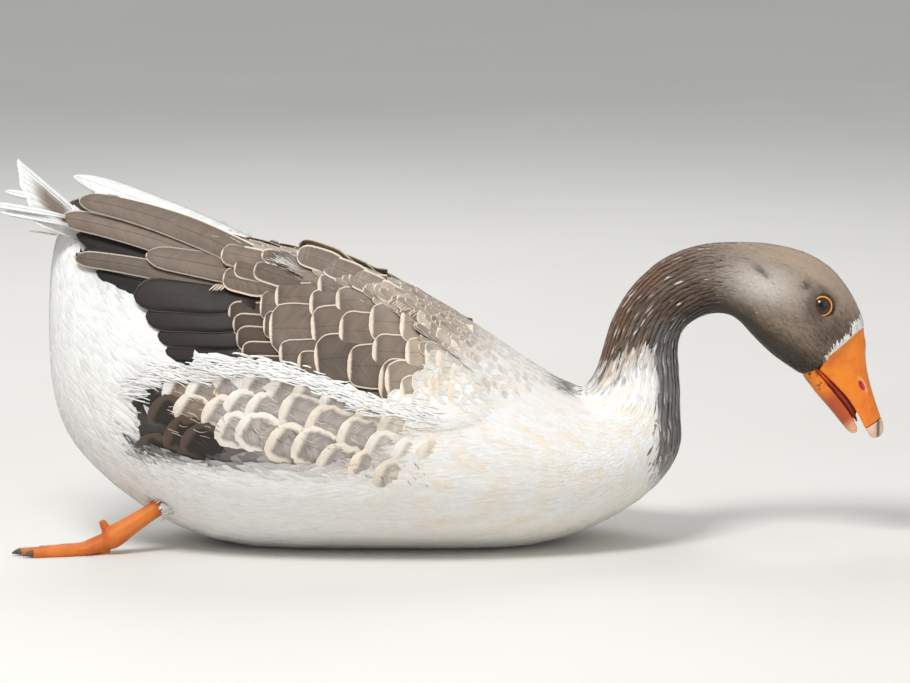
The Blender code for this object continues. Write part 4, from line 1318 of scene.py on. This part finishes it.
def covert_feathers(side, word):
    """Greater coverts, the columns of broad ones, the small ones over them, and loose barbs."""
    coat = Plumage("coverts_" + word)
    surface = body_maps[side]
    draw = np.random.default_rng(139)
    drawn_vanes(coat, surface, GREATER_COVERTS, 140, sink=0.0055, rise=-0.0024, roll=0.0010, step=0.0002,
                blunt=2.3, jitter=0.3, dye=UMBER * 1.1, hem=BEIGE * 0.85, hem_width=1.4, side_ratio=1.5,
                pattern=0.7)
    for i, (length, hem_width, stack) in enumerate(COVERT_COLUMNS):
        pale = ease(i, 3.0, 8.0)
        rows = []
        for x, high, half, tone in stack:
            root_x = x + length * draw.uniform(0.95, 1.05)
            rows.append((x, high, root_x, high + draw.uniform(-1, 5), half * 1.13, 0.6, 0.0, tone))
        drawn_vanes(coat, surface, rows, 142 + i, rows=14, tip_rows=7, columns=9, sink=0.0036, roll=0.0007,
                    step=0.0003, blunt=2.35, stretch=0.75, camber=0.0009, jitter=0.9, ragged=0.05,
                    tone_spread=0.08, dye=mixed(TAUPE * 0.80, BEIGE * 0.9, pale), shaft=0.25,
                    hem=mixed(BEIGE, CREAM, 0.3 + 0.7 * pale), hem_width=hem_width, side_ratio=3.0,
                    pattern=1.0 - 0.09 * i)
    drawn_vanes(coat, surface, SMALL_COVERTS, 160, rise=0.0004, blunt=2.3, camber=0.0012, dye=TAUPE * 0.75,
                pattern=0.7)
    # loose barbs over the long feathers and at the shoulder
    barbs = [(-126 + 1.2 * k, 98 + draw.normal(), -121 + 1.2 * k, 103, 0.24, 0.3, 0.6) for k in range(8)]
    for k in range(12):
        x, high = -9 + 1.5 * k, 89 - 0.9 * k
        barbs.append((x, high + draw.normal(), x + 6, high + 5, 0.24, 0.3, 0.9))
    drawn_vanes(coat, surface, barbs, 163, sink=0.0, rise=0.0015, blunt=1.6, stretch=5.0, camber=0.00005,
                dye=BEIGE, soft=0.6, **BARB)
    coat.make("plumage_brown")


def scapular_feathers(side, word):
    coat = Plumage("scapulars_" + word)
    dye = mixed(TAUPE * 0.92, BEIGE * 0.9, ease(np.array([row[0] for row in SCAPULARS]), -50, 10))
    drawn_vanes(coat, body_maps[side], SCAPULARS, 170, sink=0.0036, rise=0.0004, roll=-0.0008, camber=0.0010,
                jitter=0.4, dye=dye, hem=mixed(BEIGE, CREAM, 0.6), hem_width=1.1, pattern=0.6, shaft=0.3)
    coat.make("plumage_brown")


# ---------------------------------------------------------------- flank

# Under this line in the side drawing the flank is darker: its own wet brown and painted shade
WET_SHADE_X = (-190, -166, -152, -105, -68, -40, 0)
WET_SHADE_UNDER = (70, 44, 20, -3, -12, -30, -60)


def flank_row(coat, surface, draw, row, count):
    """A row of broad feathers: each one's tip sweeps up and back, and each row lies over the one above it."""
    entries = []
    for step in range(count):
        x = -176 + 18.0 * step + 8 * (row % 2) + draw.normal() * 2.5
        high = np.interp(x + 10, FLANK_X, FLANK_TOP) - 8 - 17 * row + draw.normal() * 1.8
        root_x, root_high = x + 46 + draw.normal() * 4, high - 26 + draw.normal() * 4
        entries.append((x, high, root_x, root_high, 15.5 + draw.normal(), 3.5))
    table = np.array(entries[::-1])
    # darker under the line: partly wet feathers, partly painted shade
    dark = ease(table[:, 1] - np.interp(table[:, 0], WET_SHADE_X, WET_SHADE_UNDER), 1, -9)
    dye = mixed(LILAC * 0.86, TAUPE * 1.05, ease(-table[:, 0], 128, 150))
    dye = mixed(mixed(dye, CREAM, ease(table[:, 0], -50, 20)), DARK * 1.1, dark)
    hem = mixed(mixed(CREAM, BEIGE, 0.3), WHITE, draw.random(len(table)) * 0.7)
    drawn_vanes(coat, surface, table, 182 + row, rows=20, tip_rows=9, columns=9, sink=0.0042,
                rise=0.0001 + 0.0004 * row, roll=0.0004, step=-0.0001, blunt=2.5, camber=0.0010, ragged=0.20,
                dye=dye, hem=mixed(hem, BROWN * 0.7, dark), hem_width=6.0, side_ratio=1.3, pattern=0.9,
                shaft=0.25)


def flank_fringe(coat, surface, draw):
    """White tufts over the flank's top edge."""
    fringe = []
    for _ in range(950):
        x = draw.uniform(-180, 30)
        top = np.interp(x, FLANK_X, FLANK_TOP) + draw.normal() * 2.6 - 1
        away = draw.uniform(4, 9)
        tip_high, root_high = top + away * draw.uniform(-0.25, 0.45), top - away * draw.uniform(0, 0.7)
        fringe.append((x - away, tip_high, x + away, root_high,
                       draw.uniform(0.22, 0.65), draw.uniform(-1, 1), draw.uniform(0.6, 2.0)))
    drawn_vanes(coat, surface, fringe, 195, rows=7, tip_rows=3, columns=3, sink=0.0015, rise=0.0004,
                blunt=1.6, stretch=4.0, camber=0.0001, dye=WHITE, hem=WHITE, pattern=0.0, shaft=0.0, soft=0.8)


def flank_barbs(coat, surface, draw, number, shade, count, rising):
    """Barbs that have come loose and stand up from the broad feathers."""
    loose = []
    for _ in range(count):
        x = draw.uniform(-150, 20)
        high = np.interp(x, FLANK_X, FLANK_TOP) - draw.uniform(8 + 30 * number, 46 + 6 * number)
        away = draw.uniform(4, 9) * (1 - 0.4 * number)
        loose.append((x - away, high + away * (rising + draw.normal() * 0.2), x, high,
                      draw.uniform(0.10, 0.18), draw.uniform(-1.5, 1.5), draw.uniform(1.3, 2.1)))
    drawn_vanes(coat, surface, loose, 196 + number, sink=0.002, rise=0.0002, blunt=1.5, stretch=6.0,
                camber=0.00003, dye=shade, hem=shade, **BARB)


def flank_feathers(side, word):
    coat = Plumage("flank_" + word)
    draw = np.random.default_rng(181)
    for row, count in enumerate((11, 11, 10)):
        flank_row(coat, body_maps[side], draw, row, count)
    flank_fringe(coat, body_maps[side], draw)
    for number, (shade, count, rising) in enumerate(((CREAM, 130, 0.45), (BROWN * 0.7, 70, 1.2))):
        flank_barbs(coat, body_maps[side], draw, number, shade, count, rising)
    coat.make("plumage_brown")


for maker in (flight_feathers, tertial_feathers, covert_feathers, scapular_feathers, flank_feathers):
    for side, word in SIDES:
        maker(side, word)

# ---------------------------------------------------------------- tail

TAIL_RISE = math.radians(41)
TAIL_FAN = math.radians(27)
TAIL_ROOF = 8.5  # how steeply the tail falls off to its sides: metres down for a metre out, squared
TAIL_BASE = np.array((-0.200, 0.0, 0.2050))
TAIL_BEAM = np.array((-math.cos(TAIL_RISE), 0, math.sin(TAIL_RISE)))
TAIL_OVER = np.array((math.sin(TAIL_RISE), 0, math.cos(TAIL_RISE)))
TAIL_ASIDE = np.array((0.0, 1.0, 0.0))
# The vanes and the two layers of coverts over them: how many, length, how much shorter at the sides, where
# they start, and how dark their middles are
TAIL_LAYERS = (
    (18, 0.0800, 0.0230, 0.0, 1.0),
    (11, 0.0360, 0.0080, -0.004, 0.0),
    (9, 0.0230, 0.0050, -0.008, 0.0),
)


def tail_layer(coat, draw, layer, count, reach, short, start, darkness):
    """Vanes fanned out over a roof: each follows the roof's slope, so the tail shows broad from the side."""
    edge, out = np.linspace(-1, 1, 9), np.linspace(-1, 1, count)
    turn = TAIL_FAN * out
    length = reach - short * np.abs(out) ** 1.6 + draw.normal(size=count) * 0.0006
    along, width = outline(length, np.full(count, 0.0100 - 0.001 * layer), 14, 6, 2.0, 1.5, 0.55)
    gone = along * length[:, None]
    line = gone * np.cos(turn)[:, None]
    lateral = gone * np.sin(turn)[:, None] + (out * 0.013)[:, None]
    aside = lateral[..., None] + np.cos(turn)[:, None, None] * width[..., None] * edge
    ahead = line[..., None] - np.sin(turn)[:, None, None] * width[..., None] * edge + start
    stack = 0.0030 - 0.0024 * np.abs(out)[:, None, None] + 0.0012 * layer + 0.0005 * (1 - edge**2)
    stack = stack * ease(gone, 0.0, 0.01)[..., None] if layer else stack
    over = -TAIL_ROOF * aside**2 + stack - 0.0004 * np.sign(out)[:, None, None] * edge
    points = TAIL_BASE + ahead[..., None] * TAIL_BEAM + aside[..., None] * TAIL_ASIDE
    points = points + over[..., None] * TAIL_OVER
    inner = ease(np.abs(out), 0.12, 0.35) * ease(np.abs(out), 0.95, 0.7)
    dark = darkness * ease(along, 0.30, 0.5) * ease(along, 0.90, 0.72) * inner[:, None]
    coat.add(draw, points, along, length, width, edge, mixed(WHITE, TAUPE * 0.95, dark), WHITE, hem_width=2.0,
             shaft=0.30, pattern=0.2)


def tail_feathers():
    """The fan, slender outer feathers on both sides, and a bare quill on the right."""
    coat = Plumage("tail_feathers")
    draw = np.random.default_rng(201)
    for layer, row in enumerate(TAIL_LAYERS):
        tail_layer(coat, draw, layer, *row)
    roots = [(-0.2240, -0.0385, 0.2255), (-0.2220, -0.0390, 0.2200), (-0.2270, 0.0385, 0.2230)]
    tips = [(-0.2722, -0.0425, 0.2345), (-0.2670, -0.0430, 0.2295), (-0.2700, 0.0418, 0.2336)]
    free_vanes(coat, roots, tips, (0.0030, 0.0026, 0.0030), (0.1, -0.75, 0.65), 203, rows=9, tip_rows=4,
               columns=5, blunt=1.7, stretch=3.0, bend=0.001, shaft=0.4)
    free_vanes(coat, [(-0.2300, -0.0360, 0.2130)], [(-0.2490, -0.0400, 0.2165)], 0.0006, (0, -1, 0.3), 204,
               root_share=1.0, dye=CREAM * 0.8, shaft=0.0)
    coat.make("plumage_white", "tail", "tail_edge_right", "tail_edge_left")


# Middle, spread and number of the wisps on the left; the right has the same
WISPS = (((-0.098, 0.0560, 0.2055), 0.009, 110), ((-0.074, 0.0600, 0.1955), 0.004, 50))


def crest_down():
    """Wisps of grey-white down that stand up between the shoulder feathers."""
    coat = Plumage("crest_down")
    draw = np.random.default_rng(211)
    for side, _ in SIDES:
        roots, tips, facing = [], [], []
        for (x, y, z), spread, count in WISPS:
            for _ in range(count):
                away = draw.normal() * spread
                root = np.array((x + away, side * (y + draw.normal() * 0.002), z - 0.42 * away))
                lean = np.array((-0.95, 0, 0.42)) + draw.normal(size=3) * (0.2, side * 0.15, 0.16)
                roots.append(root)
                tips.append(root + unit(lean) * draw.uniform(0.007, 0.014))
                facing.append((draw.normal() * 0.4, side, 0.3))
        half = draw.uniform(0.00014, 0.00030, len(roots))
        free_vanes(coat, lowered(roots), lowered(tips), half, facing, 212 + side, rows=5, tip_rows=2,
                   blunt=1.6, stretch=3.0, bend=0.0014, camber=0.00004, shaft=0.0)
    coat.make("plumage_white")


tail_feathers()
crest_down()

# ---------------------------------------------------------------- bill

NOSTRIL = np.array((0.3132, 0.0, 0.1068))
NOSTRIL_WAY = unit(np.array((0.45, 0.0, -0.89)))  # its long axis
NOSTRIL_ACROSS = np.array((0.89, 0.0, 0.45))
NAIL_STREAK = 0.0011  # half width of the nail's dark streaks

# The gape from root to tip: the upper half's edge (x, z), the lower half's edge (x, z), and half width
GAPE = (
    (0.2780, 0.1235, 0.2765, 0.1220, 0.0120), (0.2853, 0.1172, 0.2842, 0.1152, 0.0128),
    (0.2915, 0.1115, 0.2886, 0.1088, 0.0112), (0.2980, 0.1048, 0.2946, 0.1016, 0.0096),
    (0.3035, 0.0985, 0.3004, 0.0942, 0.0084), (0.3080, 0.0918, 0.3054, 0.0872, 0.0072),
    (0.3108, 0.0868, 0.3084, 0.0820, 0.0056),
)


def upper_bill_marks(points, out):
    """Pale towards the nail, and a red nostril with a pale rim on each side, sunk in."""
    colour = np.tile(tint(255, 206, 150), (len(points), 1))
    share = 0.75 * ease(out, 0.050, 0.062)
    off = points - NOSTRIL
    long, wide = off @ NOSTRIL_WAY, off @ NOSTRIL_ACROSS
    ring = np.sqrt((long / 0.0043) ** 2 + (wide / 0.0018) ** 2)
    rim = np.exp(-(((ring - 1.3) / 0.25) ** 2)) * ease(wide, -0.001, 0.002)
    colour = mixed(colour, tint(255, 214, 170), rim)
    hole = ease(ring, 1.1, 0.85)
    colour = mixed(colour, tint(176, 22, 12), hole)
    return colour, np.maximum(np.maximum(share, 0.55 * rim), hole), 0.0013 * ease(ring, 1.1, 0.5)


def lower_bill_marks(points, out):
    """Orange at the root, brown-red along the middle, pale at the tip, with dark spots by the gape."""
    colour = mixed(tint(168, 62, 22), tint(246, 190, 150), ease(out, 0.036, 0.046))
    share = 0.85 * ease(out, 0.010, 0.022)
    fleck = noise(points, 0.004, 6) + noise(points, 0.0022, 7)
    dark = ease(fleck, 0.35, 0.8) * ease(out, 0.016, 0.010)
    return mixed(colour, tint(48, 26, 20), dark), np.maximum(share, dark), 0.0


def nail_marks(points, out):
    """A dark streak down the front and one down each side."""
    x, y, z = points.T
    front = np.exp(-((y / NAIL_STREAK) ** 2)) * ease(z, 0.089, 0.084)
    beside = np.exp(-(((x - 0.3246) / NAIL_STREAK) ** 2)) * ease(z, 0.087, 0.083)
    return np.tile(tint(34, 26, 24), (len(points), 1)), 0.9 * np.maximum(front, beside), 0.0


def no_marks(points, out):
    return np.zeros_like(points), 0.0, 0.0


def bill_piece(name, node, finish, slot, marks):
    """A part of the bill in its node's shape. marks gives colours, their shares and how deep they dent it."""
    obj = cast_from(name, (node,), swell=0.0, voxel=0.0007, smoothing=4)
    points, normals = points_of(obj.data), normals_of(obj.data)
    up, out = bill_place(points)
    colour, share, dent = marks(points, out)
    aside = np.abs(normals[:, 1]) > 0.35
    moved = points - normals * (dent * aside)[:, None]
    # the roots run back over the face and hide inside the head
    if node == "bill_upper":
        back = ease(out, 0.009, 0.0)
        moved = moved + BILL_WAY * (back * (bill_edge(up) - 0.0020))[:, None]
        moved[:, 1] += np.sign(points[:, 1]) * 0.0010 * back * (np.abs(points[:, 1]) > 0.008)
    if node == "bill_lower":
        moved = moved - BILL_WAY * (0.0045 * ease(out, 0.008, 0.001))[:, None]
    move_points(obj.data, moved)
    dyed(obj, colour, np.where(aside | (dent == 0), share, 0))
    fitted(obj, finish, slot, node)


def mouth_lining():
    """A soft body that closes the gape between the two halves of the bill."""
    bpy.ops.mesh.primitive_uv_sphere_add(segments=28, ring_count=36, radius=1.0)
    obj = named("mouth_lining")
    # the sphere's poles become the two ends
    ball = points_of(obj.data)
    table = np.array(GAPE)
    along = np.arccos(np.clip(ball[:, 2], -1, 1)) / math.pi
    place = along * (len(table) - 1)
    at = np.stack([np.interp(place, range(len(table)), column) for column in table.T], axis=1)
    around = unit(ball * (1, 1, 0) + 1e-9)
    size = np.sqrt(np.clip(1 - np.abs(2 * along - 1) ** 8, 0, 1))
    middle, gap = (at[:, 0:2] + at[:, 2:4]) / 2, at[:, 0:2] - at[:, 2:4]
    thick = np.linalg.norm(gap, axis=1)
    lift = unit(gap) * ((thick / 2 + 0.0016) * size * around[:, 1])[:, None]
    x, z = (middle + lift).T
    points = np.stack([x, at[:, 4] * size * around[:, 0], z], axis=1)
    move_points(obj.data, points)
    only(obj)
    bpy.ops.object.mode_set(mode="EDIT")
    bpy.ops.mesh.select_all(action="SELECT")
    bpy.ops.mesh.normals_make_consistent(inside=False)
    bpy.ops.object.mode_set(mode="OBJECT")
    dyed(obj, np.tile(tint(214, 96, 30), (len(points), 1)), 0.9 * ease(along, 0.42, 0.25))
    fitted(obj, "mouth_red", "tongue")


bill_piece("upper_bill", "bill_upper", "bill_orange", "bill", upper_bill_marks)
bill_piece("lower_bill", "bill_lower", "bill_orange", "bill", lower_bill_marks)
bill_piece("bill_tip_nail", "bill_nail", "bill_nail_ivory", "nail", nail_marks)
bill_piece("mouth_tongue", "tongue", "mouth_red", "tongue", no_marks)
mouth_lining()

# ---------------------------------------------------------------- legs

# Balls that fill out the ankle between shank and toes: x, y, z and radius
ANKLES = {
    "right": (
        (-0.1930, -0.0620, 0.0112, 0.0070),
        (-0.1905, -0.0616, 0.0128, 0.0071),
        (-0.1878, -0.0612, 0.0145, 0.0069),
    ),
    "left": (
        (-0.0380, 0.0820, 0.0098, 0.0068),
        (-0.0412, 0.0816, 0.0104, 0.0070),
        (-0.0444, 0.0812, 0.0110, 0.0069),
    ),
}
# Where each leg leaves the plumage, and its way down
LEG_TOPS = (
    ((-0.1550, -0.0560, 0.0356), (-0.0510, -0.0080, -0.0330)),
    ((-0.1050, 0.0740, 0.0230), (0.0670, 0.0080, -0.0130)),
)
CUFF_TUFTS = 230


def leg_piece(side):
    """Shank and webbed foot in one, with the claws of the frame in horn."""
    nodes = (f"shank_{side}", f"foot_{side}")
    obj = cast_from("leg_" + side, nodes, swell=0.0007, voxel=0.0009, smoothing=4, knuckles=ANKLES[side])
    points = points_of(obj.data)
    points[:, 2] = np.maximum(points[:, 2], SOLE_GAP)
    move_points(obj.data, points)
    fitted(obj, "webbed_leather", "leg", *nodes)
    for toe in ("inner", "middle", "outer"):
        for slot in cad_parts[f"claw_{side}_{toe}"].material_slots:
            slot.material = finishes["claw_horn"]


def leg_cuffs():
    """Short feathers from inside the body down over the top of each leg."""
    coat = Plumage("leg_feathers")
    draw = np.random.default_rng(221)
    for number, (top, down) in enumerate(LEG_TOPS):
        top, down = np.array(top), unit(np.array(down))
        aside = unit(np.cross(down, (0.0, 0.0, 1.0)))
        over = np.cross(aside, down)
        turn = draw.uniform(0, 2 * math.pi, CUFF_TUFTS)[:, None]
        out = aside * np.cos(turn) + over * np.sin(turn)
        roots = top - down * draw.uniform(0.010, 0.018, turn.shape) + out * 0.0090
        tips = top + down * draw.uniform(0.001, 0.010, turn.shape)
        tips = tips + out * draw.uniform(0.0068, 0.0080, turn.shape)
        half = draw.uniform(0.0006, 0.0012, CUFF_TUFTS)
        free_vanes(coat, roots, tips, half, out, 222 + number, blunt=1.7, stretch=3.5, bend=0.0012,
                   camber=0.0001, dye=WHITE * 0.96, shaft=0.0, pattern=0.0)
    coat.make("plumage_white")


for _, word in SIDES:
    leg_piece(word)
leg_cuffs()

# ---------------------------------------------------------------- eyes

EYE_SHIFT = Vector((-0.0016, 0, 0.0004))  # from the middle of the frame's eyes
EYE_RADIUS = 0.0078


def lid(name, centre, axis, major, minor, finish):
    """A ring round the eyeball where it meets the lids."""
    middle = Vector(centre) + Vector(axis) * math.sqrt(EYE_RADIUS**2 - major**2)
    turn = Vector(axis).to_track_quat("Z", "Y").to_euler()
    bpy.ops.mesh.primitive_torus_add(location=middle, rotation=turn, major_radius=major, minor_radius=minor,
                                     major_segments=48, minor_segments=10)
    fitted(named(name), finish, "eye")


def eye(side, word):
    """The eyeball, its coloured ring and the bare skin of its lids."""
    low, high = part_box("eye_" + word)
    centre = (low + high) / 2 + EYE_SHIFT
    bpy.ops.mesh.primitive_uv_sphere_add(segments=40, ring_count=24, radius=EYE_RADIUS, location=centre)
    ball = named("eyeball_" + word)
    axis = unit(np.array((0.10, side * 1.0, 0.10)))
    points = points_of(ball.data) - np.array(centre)
    away = np.linalg.norm(points - np.outer(points @ axis, axis), axis=1)
    away[points @ axis < 0] = 0.01
    store(ball.data, "away", "FLOAT", away)
    fitted(ball, "eyeball", "eye", "eye_" + word)
    lid("eye_ring_" + word, centre, axis, 0.0062, 0.00066, "eye_ring")
    lid("eyelid_" + word, centre, axis, 0.0071, 0.0011, "lid_skin")


for side, word in SIDES:
    eye(side, word)

bpy.data.objects.remove(form, do_unlink=True)

# ---------------------------------------------------------------- studio

FLOOR_SIZE = 24
SKY = (0.95, 0.97, 1.0, 1)
SKY_STRENGTH = 0.52
LAMPS_AIM = Vector((0.0, 0, 0.1))
# Place, size and power of each lamp
LAMPS = {
    "key": ((-0.60, -1.3, 2.0), 0.8, 43),
    "fill": ((1.6, -1.6, 0.9), 1.6, 8),
    "rim": ((-0.2, 1.6, 1.5), 1.2, 14),
}
CAMERA_DISTANCE = 4.5
CAMERA_MIDDLE = (0.0374, 0.06494)  # of the side drawing, in metres: along it, and up it
CAMERA_WIDTH = 0.6188  # what the camera sees from side to side, at the bird
SENSOR = 36


def ground_and_sky():
    bpy.ops.mesh.primitive_plane_add(size=FLOOR_SIZE, location=(0, 0, 0))
    floor = bpy.context.active_object
    floor.name = "studio_floor"
    floor.data.materials.append(finishes["studio_floor"])
    world = bpy.data.worlds.new("studio")
    world.use_nodes = True
    background = world.node_tree.nodes["Background"]
    background.inputs[0].default_value = SKY
    background.inputs[1].default_value = SKY_STRENGTH
    bpy.context.scene.world = world
    bpy.context.scene.view_settings.view_transform = "Standard"


def lamps():
    for name, (place, size, power) in LAMPS.items():
        lamp = bpy.data.lights.new(name, "AREA")
        lamp.size, lamp.energy = size, power
        obj = bpy.data.objects.new(name, lamp)
        obj.location = place
        obj.rotation_euler = (LAMPS_AIM - Vector(place)).to_track_quat("-Z", "Y").to_euler()
        bpy.context.scene.collection.objects.link(obj)


def camera():
    """Square to the side drawing, so it looks down by its tilt."""
    data = bpy.data.cameras.new("camera")
    obj = bpy.data.objects.new("camera", data)
    up = Vector((0, math.sin(TILT), math.cos(TILT)))
    ahead = Vector((0, math.cos(TILT), -math.sin(TILT)))
    aim = Vector((CAMERA_MIDDLE[0], 0, DRAWN_FROM)) + up * CAMERA_MIDDLE[1]
    obj.location = aim - ahead * CAMERA_DISTANCE
    obj.rotation_euler = ahead.to_track_quat("-Z", "Y").to_euler()
    data.sensor_width = SENSOR
    data.lens = SENSOR * CAMERA_DISTANCE / CAMERA_WIDTH
    data.clip_start, data.clip_end = 0.1, 50
    bpy.context.scene.collection.objects.link(obj)
    bpy.context.scene.camera = obj


ground_and_sky()
lamps()
camera()
